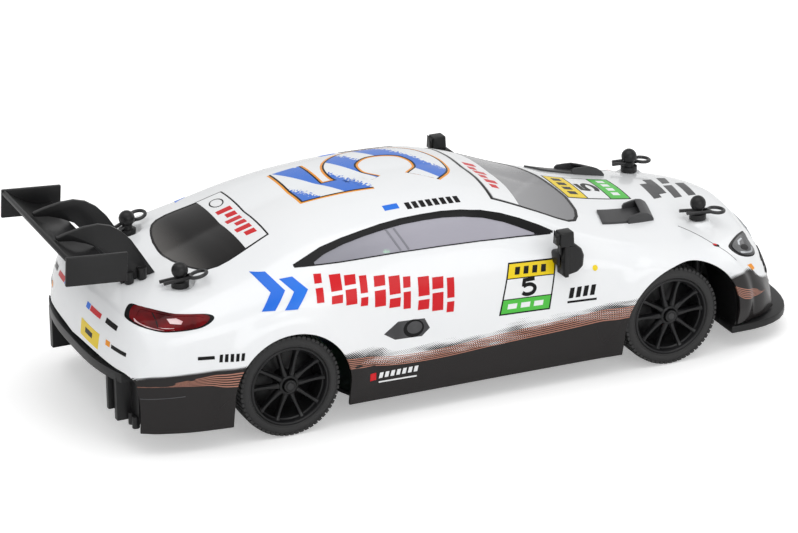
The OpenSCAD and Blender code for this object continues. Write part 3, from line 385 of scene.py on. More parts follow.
stripeSet = {"colour": (0.84, 0.86, 0.88), "other": (0.014, 0.15, 0.66), "pitch": 0.021, "share": 0.55}
twoColour(material("numberStripes", stripeSet["colour"], stripeSet["colour"], 0.28, coat=0.15), bands,
          stripeSet["colour"], stripeSet["other"], {"Pitch": stripeSet["pitch"], "Share": stripeSet["share"]})
material("trimBlack", (0.009, 0.009, 0.0095), (0.014, 0.014, 0.0145), 0.36, wander=0.12, scale=1400, bump=0.00003,
         gloss=0.32)
material("wheelBlack", (0.007, 0.007, 0.0075), (0.011, 0.011, 0.012), 0.30, wander=0.1, scale=1600, gloss=0.35)
material("tyreBlack", (0.016, 0.016, 0.0165), (0.023, 0.0225, 0.0225), 0.62, wander=0.14, scale=700, bump=0.00005)
material("pillarGrey", (0.22, 0.22, 0.25), (0.26, 0.26, 0.29), 0.2, gloss=0.2)
material("printBlack", (0.006, 0.006, 0.0065), (0.009, 0.009, 0.0095), 0.25, gloss=0.15)
# each pane's change of colour along the car is painted reflection and shade seen in the glass
paneWithPaintedReflection("sidePane", (0.30, 0.30, 0.34), (0.44, 0.43, 0.49), -75, -20, 0.86)
paneWithPaintedReflection("screenPane", (0.42, 0.42, 0.43), (0.28, 0.28, 0.29), 15, 55, 0.84)
paneWithPaintedReflection("rearPane", (0.10, 0.095, 0.09), (0.006, 0.005, 0.005), -119, -105, 0.96)
for label, colour, other in (("filmWhite", (0.84, 0.85, 0.86), (0.87, 0.88, 0.89)),
                             ("filmBlue", (0.012, 0.15, 0.72), (0.018, 0.19, 0.80)),
                             ("filmRed", (0.60, 0.004, 0.010), (0.66, 0.008, 0.014)),
                             ("filmGreen", (0.07, 0.50, 0.05), (0.09, 0.56, 0.07)),
                             ("filmYellow", (0.86, 0.62, 0.005), (0.90, 0.68, 0.01)),
                             ("filmOrange", (0.85, 0.29, 0.01), (0.9, 0.35, 0.02))):
    material(label, colour, other, 0.3, coat=0.1, gloss=0.25)
material("filmGrey", (0.055, 0.055, 0.058), (0.09, 0.09, 0.093), 0.3, gloss=0.2, driftScale=120)
material("lampRed", (0.045, 0.0004, 0.0016), (0.20, 0.001, 0.004), 0.08, wander=0.03, driftScale=90, gloss=0.16)
# pale pink painted highlights on the tail lamps
material("lampPale", (0.62, 0.30, 0.32), (0.85, 0.70, 0.70), 0.08, wander=0.03, coat=0.3, driftScale=120)
material("lampSilver", (0.55, 0.57, 0.60), (0.35, 0.36, 0.38), 0.15, wander=0.05, metallic=0.6, coat=0.6,
         driftScale=90)
material("lampSmoke", (0.012, 0.013, 0.015), (0.05, 0.053, 0.058), 0.06, wander=0.03, coat=0.4, driftScale=260)
material("ventGrey", (0.042, 0.042, 0.044), (0.06, 0.06, 0.062), 0.38, wander=0.1, scale=1400, bump=0.00003,
         gloss=0.4)
material("steel", (0.52, 0.53, 0.55), (0.44, 0.45, 0.47), 0.30, wander=0.15, scale=2200, bump=0.00001,
         metallic=1.0)
material("clipBlack", (0.02, 0.02, 0.021), (0.035, 0.035, 0.036), 0.30, wander=0.1, metallic=0.2)
material("nylonWhite", (0.72, 0.71, 0.66), (0.66, 0.65, 0.60), 0.45, wander=0.08)
material("wrapBlue", (0.03, 0.11, 0.36), (0.04, 0.15, 0.44), 0.28, wander=0.1, scale=500, bump=0.00008)
material("boxGrey", (0.05, 0.052, 0.055), (0.07, 0.072, 0.075), 0.5, wander=0.1)
material("ledGreen", (0.2, 0.9, 0.4), (0.3, 1.0, 0.5), 0.2, glow=((0.35, 1.0, 0.45), 14.0))
material("knobRed", (0.45, 0.02, 0.015), (0.52, 0.03, 0.02), 0.4)


print("body shell")
shellSet = {"wall": 1.2, "roofCut": (50, 110), "flankCut": (20, 70), "archCut": (40, 80),
            # wheel openings: place along the car, height and radius
            "frontArch": (91.5, 18.0, 28.3), "rearArch": (-86.0, 20.5, 25.3),
            # stretches along the car and their number of stations, closer together where the lines turn down
            "stretches": [(-158, -149, 22), (-149, -84, 34), (-84, 24, 42), (24, 112, 36), (112, 134, 16),
                          (134, 152, 26)]}
# the brow round a wheel opening: full up to one distance past the edge and gone at another, rising between two
# heights from the wheel's axis, and only on the flank's outermost share
browSet = {"out": 1.9, "full": 6, "gone": 9.5, "from": -12, "to": 2, "flank": (0.80, 0.93)}
# the shell's lines as (place along the car, value), in mm from the middle of the wheelbase
shellLines = {
    "crownZ": [
        (-158, 34), (-157.4, 42), (-155.5, 51), (-152.5, 56.5), (-140, 59.4), (-118, 63.2), (-100, 69.6),
        (-82, 75.6), (-60, 81.2), (-35, 84.3), (-10, 84.4), (12, 81.2), (25, 77), (52, 66.6), (78, 60.8),
        (112, 55.4), (124, 53.2), (134, 51), (142, 43.6), (148, 31.5), (151, 19), (152, 13)],
    "railY": [
        (-158, 42), (-150, 45), (-120, 44), (-95, 40), (-75, 38.5), (0, 38.5), (15, 39.5), (30, 42.5), (54, 45.5),
        (80, 46), (112, 45), (130, 43), (142, 41), (152, 38)],
    "railZ": [
        (-158, 33.5), (-157.2, 41), (-155, 48.5), (-151, 54.2), (-138, 57.2), (-118, 62), (-95, 68.5),
        (-75, 75.2), (-50, 79.5), (-25, 80.8), (0, 80), (15, 76.5), (30, 71), (54, 61.6), (80, 54), (112, 48.6),
        (124, 46.4), (134, 42.4), (142, 35), (148, 25), (151, 15.5), (152, 12.5)],
    "beltY": [
        (-158, 49), (-150, 52.5), (-120, 55), (-86, 53.5), (-50, 52), (0, 52.5), (40, 53), (70, 56), (92, 57.5),
        (115, 56.5), (130, 53), (142, 49), (152, 43)],
    "beltZ": [
        (-158, 33), (-157, 38.5), (-155, 43.5), (-151, 49), (-138, 53), (-118, 56.5), (-86, 63.5), (-50, 66.2),
        (0, 65.8), (40, 61.4), (70, 53), (92, 47.8), (115, 43.2), (130, 37.8), (142, 27.5), (149, 17), (152, 12)],
    "sideY": [
        (-158, 53), (-150, 55.5), (-130, 59), (-100, 61.5), (-86, 61.8), (-60, 60.5), (-30, 59), (20, 59),
        (50, 60), (75, 61.8), (92, 62.2), (115, 60), (130, 56.5), (142, 52), (152, 45)],
    "sideZ": [
        (-158, 30), (-154, 34.5), (-148, 39), (-120, 44), (-86, 47), (-30, 42), (20, 42), (60, 43.5), (92, 43.5),
        (115, 38), (130, 30), (142, 22), (152, 11.8)],
    "sillY": [
        (-158, 53), (-150, 55), (-130, 58.5), (-100, 60), (-60, 59), (0, 59), (60, 59.5), (92, 61), (115, 59),
        (130, 55.5), (142, 52), (152, 45)],
    "sillZ": [(-158, 10), (-148, 9), (-100, 8), (100, 8), (112, 9), (120, 11), (152, 11.4)],
    "sweepX": [
        (-158, 9.5), (-150, 8), (-125, 3), (-100, 0), (0, 0), (30, -1), (54, -4), (80, -5), (112, -6), (130, -7),
        (152, -8)]}
sectionSet = {"swell": (1.6, 1.0, 1.2, 0.6), "round": (0, 0.3, 0.32, 0.4, 0), "points": (15, 12, 12, 9),
              "corner": 6}


def slopeAt(line, k):
    def rise(i):
        return (line[i + 1][1] - line[i][1]) / (line[i + 1][0] - line[i][0])
    if k == 0:
        return rise(0)
    if k == len(line) - 1:
        return rise(k - 1)
    if rise(k - 1) * rise(k) <= 0:
        return 0
    before, after = line[k][0] - line[k - 1][0], line[k + 1][0] - line[k][0]
    return 3 * (before + after) / ((2 * after + before) / rise(k - 1) + (after + 2 * before) / rise(k))


def drawn(label, x):
    line = shellLines[label]
    x = max(line[0][0], min(line[-1][0], x))
    k = max(i for i in range(len(line) - 1) if line[i][0] <= x)
    h = line[k + 1][0] - line[k][0]
    t = (x - line[k][0]) / h
    return (line[k][1] * (1 + 2 * t) * (1 - t) ** 2 + slopeAt(line, k) * h * t * (1 - t) ** 2
            + line[k + 1][1] * t * t * (3 - 2 * t) + slopeAt(line, k + 1) * h * t * t * (t - 1))


def sidePoint(corners, k, t):
    d = corners[k + 1] - corners[k]
    n = Vector((-d.y, d.x)).normalized()
    if n.dot(Vector((1, 0.3))) < 0:
        n = -n
    return corners[k] + d * t + n * sectionSet["swell"][k] * 4 * t * (1 - t) * min(1, d.length / 20)


def halfSection(x):
    corners = [Vector((0, drawn("crownZ", x)))] + [
        Vector((drawn(name + "Y", x), drawn(name + "Z", x))) for name in ("rail", "belt", "side", "sill")]
    share, out = sectionSet["round"], []
    for k, count in enumerate(sectionSet["points"]):
        for i in range(count):
            t = share[k] + (1 - share[k] - share[k + 1]) * i / (count - 1)
            out.append(sidePoint(corners, k, t))
        if k < 3:
            a = sidePoint(corners, k, 1 - share[k + 1])
            b = sidePoint(corners, k + 1, share[k + 1])
            for j in range(1, sectionSet["corner"] + 1):
                s = j / (sectionSet["corner"] + 1)
                out.append(a * (1 - s) ** 2 + corners[k + 1] * 2 * s * (1 - s) + b * s * s)
    return out


def blendStep(low, high, value):
    t = max(0.0, min(1.0, (value - low) / (high - low)))
    return t * t * (3 - 2 * t)


def flareOut(x, y, z, widest):
    # the soft raised brow round each wheel opening
    b, push = browSet, 0
    for cx, cz, radius in (shellSet["frontArch"], shellSet["rearArch"]):
        fall = blendStep(radius + b["full"], radius + b["gone"], math.hypot(x - cx, z - cz))
        push = max(push, (1 - fall) * blendStep(cz + b["from"], cz + b["to"], z))
    return b["out"] * push * blendStep(*b["flank"], y / widest)


def shellSkin():
    places = [a + (b - a) * i / n for a, b, n in shellSet["stretches"] for i in range(n)] + [152]
    points, faces = [], []
    for x in places:
        half = halfSection(x)
        widest = max(p.x for p in half)
        bow = drawn("sweepX", x)
        row = []
        for p in half:
            px = x + bow * (p.x / widest) ** 3
            row.append((px, p.x + flareOut(px, p.x, p.y, widest), p.y))
        points += [spot(*p) for p in reversed(row)] + [spot(p[0], -p[1], p[2]) for p in row[1:]]
    columns = len(points) // len(places)
    for i in range(len(places) - 1):
        for j in range(columns - 1):
            a = i * columns + j
            faces.append([a, a + 1, a + columns + 1, a + columns])
    skin = meshPiece("shellGuide", points, faces)
    wholeMesh(skin, (bpy.ops.mesh.remove_doubles, {"threshold": 0.01 * mm}),
              (bpy.ops.mesh.vertices_smooth, {"factor": 0.5, "repeat": 2}))
    return skin


guide = shellSkin()
guideMesh = bmesh.new()
guideMesh.from_mesh(guide.data)
guideTree = BVHTree.FromBMesh(guideMesh)
print("guide faces", len(guide.data.polygons))

windscreenOutline = mirrored([(15, -33.5), (30, -37), (42, -39.6), (47, -40), (51, -38.2), (54, -34),
                              (56.4, -28), (58.5, -15)], [(59, 0)]) + [(16.5, 15), (16.5, -15)]
rearOutline = mirrored([(-82, -26.5), (-92, -28.5), (-101, -30.6), (-105.5, -31), (-109.5, -30), (-112.5, -27.2),
                        (-114.6, -23), (-116.3, -18), (-117.9, -11), (-118.5, -4)])
sideOutline = [(-79, 69), (-66.5, 73), (-57, 75), (-48, 76.3), (-39, 77.3), (-30, 78), (-20, 78.2), (-10, 78),
               (-2, 77.3), (6, 76), (14.5, 73.8), (22.5, 71), (30, 67.8), (35, 65.3), (33, 64.9), (19.5, 66.2),
               (1.5, 67.3), (-16, 67.8), (-34, 68.1), (-60, 68.1), (-75, 68.4)]


def archOutline(cx, cz, radius):
    return arcOf(cx, cz, radius, range(0, 181, 4)) + [(cx - radius, -5), (cx + radius, -5)]


def crownAt(x, y):
    hit = guideTree.ray_cast(spot(x, y, 200), Vector((0, 0, -1)))[0]
    return hit.z / mm


# level seats round the body posts: along the car, out from its middle and how far down, raised on the bonnet and
# pressed down on the boot lid; then how far out the mesh is cut finer and the seat is level and blends away
seatSet = {"places": ((113.0, 32.0, -0.4), (-122.0, 31.5, 1.5)), "cut": 8.5, "level": 4.6, "blend": 6.6,
           "reach": 7.2, "above": 0.04, "hole": 2.7}


def bodyShell():
    s = seatSet
    skin = copied(guide, "shellBody")
    work = bmesh.new()
    work.from_mesh(skin.data)
    for x, y, depth in [(x, side * y, depth) for x, y, depth in s["places"] for side in (-1, 1)]:
        centre = spot(x, y, 0).xy
        near = [e for e in work.edges if all((v.co.xy - centre).length < s["cut"] * mm and v.co.z > s["above"]
                                             for v in e.verts)]
        bmesh.ops.subdivide_edges(work, edges=near, cuts=3, use_grid_fill=True)
        seat = (crownAt(x, y) - depth) * mm
        for v in work.verts:
            away = (v.co.xy - centre).length / mm
            if away < s["reach"] and v.co.z > s["above"]:
                v.co.z = seat + (v.co.z - seat) * blendStep(s["level"], s["blend"], away)
    work.to_mesh(skin.data)
    work.free()
    modify(skin, "SOLIDIFY", thickness=shellSet["wall"] * mm, offset=-1, use_even_offset=True)
    for outline in (windscreenOutline, rearOutline):
        cutAway(skin, prism("cutter", outline, "plan", *shellSet["roofCut"]))
    for side in (-1, 1):
        flank, deep = [[side * y for y in shellSet[cut]] for cut in ("flankCut", "archCut")]
        cutAway(skin, prism("cutter", sideOutline, "side", *flank))
        for arch in ("frontArch", "rearArch"):
            cutAway(skin, prism("cutter", archOutline(*shellSet[arch]), "side", *deep))
        for x, y, depth in s["places"]:
            bpy.ops.mesh.primitive_cylinder_add(vertices=40, radius=s["hole"] * mm, depth=0.06,
                                                location=spot(x, side * y, 60))
            cutAway(skin, bpy.context.object)
    tidyMesh(skin, 0.01 * mm)
    smooth(skin)
    return skin


shell = bodyShell()
print("shell faces", len(shell.data.polygons))


bandSet = {
    "low": 15.0, "high": 40.0, "reach": 160.0, "dots": 0.95, "stripes": 6.0, "streaks": (34, 1, 210),
    "wander": 3.0, "solidFrom": 0.97, "lineFrom": 0.1, "lineGaps": 0.40, "paintCoat": 0.5, "darkCoat": 0.05,
    "dark": (0.011, 0.009, 0.009, 1), "copper": (0.45, 0.20, 0.14, 1),
    # heights along the car: the top of the dotted fade, the top of the solid dark area, and
    # the pinstripes' upper and lower limits, which close up where they run out
    "fadeTop": [
        (-158, 33), (-149, 34.2), (-140, 35.4), (-109, 36.4), (-62, 34.5), (-48, 33), (-38, 29.5), (-16, 30.8),
        (7, 33.6), (34, 33.4), (61, 34.4), (112, 37.8), (119, 36.8), (125, 35.8), (131, 32), (138, 27.4),
        (145, 25), (152, 24.5)],
    "solidTop": [
        (-158, 31.5), (-149, 33), (-140, 34), (-109, 34.6), (-62, 29.5), (-52, 25.8), (-30, 22.4), (7, 23.4),
        (34, 24.6), (61, 26.5), (112, 34), (119, 34.6), (125, 34.2), (131, 30.6), (138, 26), (145, 23.4),
        (152, 23)],
    "stripeTop": [
        (-158, 30.4), (-143, 31), (-125, 33), (-109, 34.2), (-62, 31), (-30, 27), (7, 28.6), (34, 30), (61, 32),
        (112, 33.4), (117.7, 30.4), (131, 24.8), (137, 22), (152, 21.9)],
    "stripeLow": [
        (-158, 30.3), (-143, 30.4), (-125, 29.4), (-109, 27.6), (-62, 26), (-30, 22.6), (7, 23.8), (34, 24.8),
        (61, 26.6), (112, 29), (117.7, 26.6), (131, 21.8), (137, 21.9), (152, 21.8)]}


def bandGroup():
    # dark lower band with a dotted fade and copper pinstripes, over the paint's colour
    b = bandSet
    reach, low, high = b["reach"], b["low"], b["high"]
    group, given, out = groupNode("lowerBand", [("Paint", "NodeSocketColor", None)],
                                  [("Colour", "NodeSocketColor"), ("Coat", "NodeSocketFloat")])

    def do(operation, *values):
        return calc(group, operation, *values)

    place = addNode(group, "ShaderNodeTexCoord")["Object"]
    split = addNode(group, "ShaderNodeSeparateXYZ", {0: place})
    x = do("SUBTRACT", do("MULTIPLY", split["X"], 1000), midX)
    z = do("MULTIPLY", split["Z"], 1000)
    share = do("DIVIDE", do("ADD", x, reach), 2 * reach)

    def height(line):
        node = group.nodes.new("ShaderNodeFloatCurve")
        curve = node.mapping.curves[0]
        ends = [(-reach, line[0][1])] + line + [(reach, line[-1][1])]
        while len(curve.points) < len(ends):
            curve.points.new(0.5, 0.5)
        for point, (px, pz) in zip(curve.points, ends):
            point.location = ((px + reach) / (2 * reach), (pz - low) / (high - low))
        node.mapping.update()
        fill(group, node, {"Value": share})
        return do("MULTIPLY_ADD", node.outputs[0], high - low, low)

    top, solid = height(b["fadeTop"]), height(b["solidTop"])
    fade = do("DIVIDE", do("SUBTRACT", top, z), do("SUBTRACT", top, solid))
    waves = [do("SINE", do("MULTIPLY", do(way, x, z), 2 * math.pi / b["dots"])) for way in ("ADD", "SUBTRACT")]
    dots = do("MULTIPLY_ADD", do("ADD", *waves), 0.25, 0.5)
    # patches where the fade starts early or late, drawn out along the car
    stretch = addNode(group, "ShaderNodeMapping", {"Vector": place, "Scale": b["streaks"]})
    patches = addNode(group, "ShaderNodeTexNoise", {"Scale": 1.0, "Detail": 2, "Vector": stretch[0]})["Fac"]
    wander = do("MULTIPLY", do("SUBTRACT", patches, 0.5), b["wander"])
    inside = do("MULTIPLY", do("LESS_THAN", dots, do("ADD", fade, wander)), do("GREATER_THAN", fade, 0.0))
    dark = do("MAXIMUM", inside, do("GREATER_THAN", fade, b["solidFrom"]))
    upper, lower = height(b["stripeTop"]), height(b["stripeLow"])
    run = do("DIVIDE", do("SUBTRACT", z, lower), do("SUBTRACT", upper, lower))
    wave = do("SINE", do("MULTIPLY", run, 2 * math.pi * b["stripes"]))
    within = do("MULTIPLY", do("GREATER_THAN", run, 0.0), do("LESS_THAN", run, 1.0))
    lines = do("MULTIPLY", do("GREATER_THAN", wave, b["lineFrom"]), within)
    lines = do("MULTIPLY", lines, do("GREATER_THAN", patches, b["lineGaps"]))
    darkened = blended(group, dark, given.outputs["Paint"], b["dark"])
    fill(group, out, {"Colour": blended(group, lines, darkened, b["copper"]),
                      "Coat": do("MULTIPLY_ADD", dark, b["darkCoat"] - b["paintCoat"], b["paintCoat"])})
    return group


def shellPaint():
    tree, shader = material("shellPaint", (0.85, 0.865, 0.88), (0.875, 0.885, 0.895), 0.22, wander=0.05, scale=300,
                            bump=0.00001, coat=bandSet["paintCoat"], gloss=0.3)
    paint = shader.inputs["Base Color"].links[0].from_socket
    band = addNode(tree, "ShaderNodeGroup", {"Paint": paint}, node_tree=bandGroup())
    fill(tree, shader, {"Base Color": band["Colour"], "Coat Weight": band["Coat"]})


shellPaint()
finished(shell, "shellPaint", "shell_white", "car", "body_shell")


# printed films and panes that lie on the shell
films = {}
# for each view: the two axes of an outline drawn in it, and the way it looks
viewSet = {"plan": ((0, 1), (0, 0, -1)), "side": ((0, 2), (0, -1, 0)), "end": ((1, 2), (-1, 0, 0))}


def filmPiece(outlines, view, side, lift, thick, dice):
    # one outline, or a list of outlines that touch each other, cut into small squares and dropped on to the shell
    if isinstance(outlines[0][0], (int, float)):
        outlines = [outlines]
    work = bmesh.new()
    for outline in outlines:
        work.faces.new([work.verts.new(axes(view, a, b, 0)) for a, b in outline])
    bmesh.ops.remove_doubles(work, verts=work.verts[:], dist=0.001 * mm)
    bmesh.ops.triangulate(work, faces=work.faces[:])
    across, looks = viewSet[view]
    for axis in across:
        values = [v.co[axis] for v in work.verts]
        normal = Vector((0, 0, 0))
        normal[axis] = 1
        cut = math.ceil(min(values) / (dice * mm)) * dice * mm
        while cut < max(values):
            bmesh.ops.bisect_plane(work, geom=work.verts[:] + work.edges[:] + work.faces[:], dist=1e-7,
                                   plane_co=normal * cut, plane_no=normal)
            cut += dice * mm
    along = Vector(looks) * side
    missed = []
    for v in work.verts:
        hit, normal = guideTree.ray_cast(v.co - along * 0.3, along)[:2]
        if hit is None:
            missed.append(v)
            continue
        if normal.dot(along) > 0:
            normal = -normal
        v.co = hit + normal * lift * mm
    bmesh.ops.delete(work, geom=missed, context="VERTS")
    work.normal_update()
    if sum(f.normal.dot(along) for f in work.faces) > 0:
        bmesh.ops.reverse_faces(work, faces=work.faces[:])
    piece = workPiece("film", work)
    modify(piece, "SOLIDIFY", thickness=thick * mm, offset=-1)
    smooth(piece)
    return piece


def inker(view, side=1):
    # prints a film from one direction: its lift off the shell, thickness and squares are in mm
    def ink(finish, outlines, lift=0.10, thick=0.18, dice=1.5):
        films.setdefault(finish, []).append(filmPiece(outlines, view, side, lift, thick, dice))
    return ink


onTop, onNose, onTail = inker("plan"), inker("end"), inker("end", -1)
onSide = {side: inker("side", side) for side in (-1, 1)}

print("windows")
for name, outline, view, side, finish, node in (
        ("windscreenPane", windscreenOutline, "plan", 1, "screenPane", "windscreen"),
        ("rearPane", rearOutline, "plan", 1, "rearPane", "rear_window"),
        ("sidePaneLeft", sideOutline, "side", 1, "sidePane", "side_window_left"),
        ("sidePaneRight", sideOutline, "side", -1, "sidePane", "side_window_right")):
    pane = filmPiece(outline, view, side, lift=-0.05, thick=0.85, dice=1.5)
    pane.name = name
    finished(pane, finish, "glass_grey", "car", node)


def curved(path, steps=6, closed=False):
    # a smooth line through the path's points
    out, n = [], len(path)
    for k in range(n if closed else n - 1):
        if closed:
            p0, p1, p2, p3 = (Vector(path[(k + i) % n]) for i in (-1, 0, 1, 2))
        else:
            p0, p1 = Vector(path[max(k - 1, 0)]), Vector(path[k])
            p2, p3 = Vector(path[k + 1]), Vector(path[min(k + 2, n - 1)])
        for i in range(steps):
            t = i / steps
            out.append(tuple(0.5 * (2 * p1 + (p2 - p0) * t + (2 * p0 - 5 * p1 + 4 * p2 - p3) * t * t
                                    + (3 * p1 - p0 - 3 * p2 + p3) * t ** 3)))
    return out if closed else out + [tuple(path[-1])]


def strip(path, width, closed=False):
    # a ribbon of this width along a path, as touching four-sided outlines
    points, edges, n = [Vector(p) for p in path], [], len(path)
    for k, p in enumerate(points):
        before = points[k - 1] if k or closed else p
        after = points[(k + 1) % n] if k < n - 1 or closed else p
        d1 = (p - before).normalized() if p != before else (after - p).normalized()
        d2 = (after - p).normalized() if p != after else d1
        bend = (d1 + d2).normalized()
        square = Vector((-bend.y, bend.x)) * width / 2 / max(0.5, bend.dot(d2))
        edges.append((tuple(p + square), tuple(p - square)))
    count = n if closed else n - 1
    return [[edges[k][0], edges[(k + 1) % n][0], edges[(k + 1) % n][1], edges[k][1]] for k in range(count)]


def grown(outline, share):
    cx = sum(a for a, b in outline) / len(outline)
    cy = sum(b for a, b in outline) / len(outline)
    return [(cx + (a - cx) * share, cy + (b - cy) * share) for a, b in outline]


def oval(cx, cy, rx, ry, count=24):
    return [(cx + rx * math.cos(2 * math.pi * i / count), cy + ry * math.sin(2 * math.pi * i / count))
            for i in range(count)]


def leaning(corners, u0, v0, u1, v1):
    # part of a leaning four-sided plate: corners are top left, top right, bottom right, bottom left
    def at(u, v):
        top = Vector(corners[0]).lerp(Vector(corners[1]), u)
        low = Vector(corners[3]).lerp(Vector(corners[2]), u)
        return tuple(top.lerp(low, v))
    return [at(u0, v0), at(u1, v0), at(u1, v1), at(u0, v1)]


fivePath = [(0.34, 0.42), (-0.24, 0.42), (-0.30, 0.05)]
fiveBowl = [(-0.30, 0.05), (-0.10, 0.13), (0.14, 0.11), (0.32, -0.03), (0.35, -0.20), (0.24, -0.37), (0.02, -0.44),
            (-0.20, -0.41), (-0.35, -0.30)]


def numeral(centre, right, up, thick):
    # the number five as a ribbon: right and up give its size and direction on the surface
    def at(u, v):
        return (centre[0] + right[0] * u + up[0] * v, centre[1] + right[1] * u + up[1] * v)
    bars = strip([at(*p) for p in fivePath], thick)
    bowl = strip([at(*p) for p in curved(fiveBowl)], thick)
    return bars, bowl


print("windows' printed borders")
borderSet = {
    "outerTop": [
        (-79.6, 69.2), (-66.5, 73.5), (-57, 75.5), (-48, 76.8), (-39, 77.9), (-30, 78.6), (-20.5, 78.8),
        (-11.5, 78.7), (-2.8, 78.1), (5.9, 76.8), (14.4, 74.5), (22.4, 71.6), (30, 68.3), (35.6, 65.4)],
    "innerTop": [
        (-71, 69.3), (-66, 71.3), (-57, 73.5), (-48, 75), (-39, 76.1), (-30, 76.9), (-20.5, 77.1), (-11.5, 76.9),
        (-2.8, 76.1), (5.9, 74.5), (14.4, 71.8), (20, 69.4), (26.5, 66.4)],
    "low": [(-79.4, 68.5), (-60, 68.1), (-34, 68.1), (-16, 67.8), (1.5, 67.3), (19.5, 66.2), (34, 64.9)]}
for side, ink in onSide.items():
    ink("printBlack", [borderSet["outerTop"] + [(35.2, 64.9), (26.5, 65.9)] + borderSet["innerTop"][::-1]
                       + [(-71, 68.5), (-79.6, 68.6)]], 0.11)
    ink("printBlack", strip(borderSet["low"], 0.4), 0.12)
    for x in (-33.5, -30):
        ink("pillarGrey", strip([(x, 68.6), (x - 4, 76.2)], 0.8), 0.07)
onTop("printBlack", strip(windscreenOutline, 1.3, True), 0.08)
onTop("printBlack", strip(rearOutline, 0.9, True), 0.08)

print("printed art")
artSet = {"doorPlate": [(11.9, 57.6), (33.6, 56.3), (29.5, 35.3), (6.3, 36.2)],
          "bonnetPlate": [(61, 15), (92, 13), (91, -13), (59.5, -15)],
          "roofNumber": ((-27, 5), (0, 52), (-66, 0)), "roofStroke": 12.5,
          "tailMarks": [("filmBlue", [(12, 53.2), (15.5, 53.1), (15.5, 50.8), (12, 51)]),
                        ("filmRed", [(16.2, 53.1), (26, 52.6), (26, 50.6), (16.2, 50.9)]),
                        ("printBlack", [(30, 52.6), (38, 51.6), (38, 49.6), (30, 50.6)]),
                        ("filmOrange", [(33, 44.6), (36, 44.4), (36, 42.2), (33, 42.4)]),
                        ("printBlack", [(37, 43.8), (46, 43), (46, 41.4), (37, 42.2)])]}


def sideArt(side, ink):
    def row(finish, outline, count, pitch):
        for k in range(count):
            ink(finish, shifted(outline, pitch * k))

    plate = artSet["doorPlate"]
    ink("printBlack", plate, 0.05)
    for label, v0, v1 in (("filmYellow", 0.03, 0.29), ("filmWhite", 0.31, 0.69), ("filmGreen", 0.71, 0.97)):
        ink(label, leaning(plate, 0.03, v0, 0.97, v1), 0.09)
    for k in range(4):
        ink("printBlack", leaning(plate, 0.16 + 0.18 * k, 0.09, 0.26 + 0.18 * k, 0.23), 0.13)
    for k in range(3):
        ink("filmWhite", leaning(plate, 0.14 + 0.26 * k, 0.79, 0.32 + 0.26 * k, 0.89), 0.13)
    for part in numeral((20.2, 46.6), (-8 * side, 0), (0.4, 7.2), 1.6):
        ink("printBlack", part, 0.13, dice=1.0)
    # two blue arrow heads, then a row of red blocks that falls towards the nose
    for k in (0, 1):
        x, z = -95 + 9.5 * k, 60.8 - 0.8 * k
        ink("filmBlue", [(x - 1.5, z + 6.5 - k), (x + 4, z + 6.8 - k), (x + 9, z + 1), (x + 3, z - 5.2),
                         (x - 2.5, z - 4.8), (x + 3, z + 1)], 0.14, dice=1.0)
    for k in range(10):
        x = -73.5 + 6.3 * k
        width = 4.9 if k % 3 else 3.2
        top = 66.2 - (x + 76.6) * 0.171
        low = 57.2 - (x + 80) * 0.243
        middle = low + (top - low) * (0.36 if k % 2 else 0.6)
        ink("filmRed", [(x + 0.8, top), (x + width + 0.8, top - 0.2), (x + width + 0.3, middle + 0.7),
                        (x + 0.3, middle + 0.8)])
        ink("filmRed", [(x + 0.2, middle - 0.8), (x + width + 0.2, middle - 0.9), (x + width - 0.4, low - 0.2),
                        (x - 0.4, low)])
    # printed side outlet, low behind the door
    ink("filmGrey", [(-45.4, 37.4), (-38.8, 41.6), (-27, 41), (-24.8, 36.6), (-28.5, 33.6), (-40.5, 34.2)], 0.05)
    ink("printBlack", oval(-32, 37.6, 4.6, 3.8), 0.09)
    ink("filmGrey", oval(-31.6, 37.9, 3.4, 2.6), 0.12)
    # small marks: plain bars and dots
    row("printBlack", [(38, 38.6), (40, 38.6), (41, 43), (39, 43)], 4, 3.2)
    ink("printBlack", [(37.4, 36.6), (50.6, 36.2), (50.7, 37.1), (37.5, 37.5)])
    ink("filmYellow", oval(50.6, 49.8, 1.2, 1.2, 12))
    row("printBlack", [(-117, 38.5), (-115.7, 38.5), (-115.2, 41.6), (-116.5, 41.6)], 5, 2.1)
    ink("printBlack", [(-125.5, 40.4), (-118.6, 40), (-118.7, 41.4), (-125.4, 41.8)])
    ink("filmRed", [(-52, 18.2), (-49.2, 18.2), (-49.2, 21.4), (-52, 21.4)])
    row("filmWhite", [(-48, 18.6), (-46.4, 18.6), (-45.8, 21), (-47.4, 21)], 7, 2.6)
    ink("filmWhite", [(-48, 16.6), (-31, 16.2), (-31, 16.8), (-48, 17.2)])
    # a lighter grey line along each rear quarter's lower panel: a painted highlight on the ledge's edge
    ink("filmGrey", strip(curved([(-151, 26.2), (-147, 25.6), (-138, 25.4), (-131, 25.6)]), 0.35), 0.08, dice=1.0)
    # bars along the roof's edge
    onTop("filmBlue", handed([(-34, 32.2), (-27.5, 32.2), (-27.5, 35.4), (-34, 35.4)], side, "plan"))
    bar = handed([(-24.5, 32.8), (-22.4, 32.8), (-22.4, 36.8), (-24.5, 36.8)], side, "plan")
    for k in range(8):
        onTop("printBlack", shifted(bar, 3.1 * k))


def tailArt():
    onTail("filmYellow", [(-10, 45.8), (-28, 45), (-27.4, 38.3), (-10, 39)], 0.09)
    onTail("printBlack", [(-15, 43.6), (-22, 43.2), (-21.8, 41), (-15, 41.4)], 0.13)
    for side in (-1, 1):
        for label, outline in artSet["tailMarks"]:
            onTail(label, handed(outline, side))


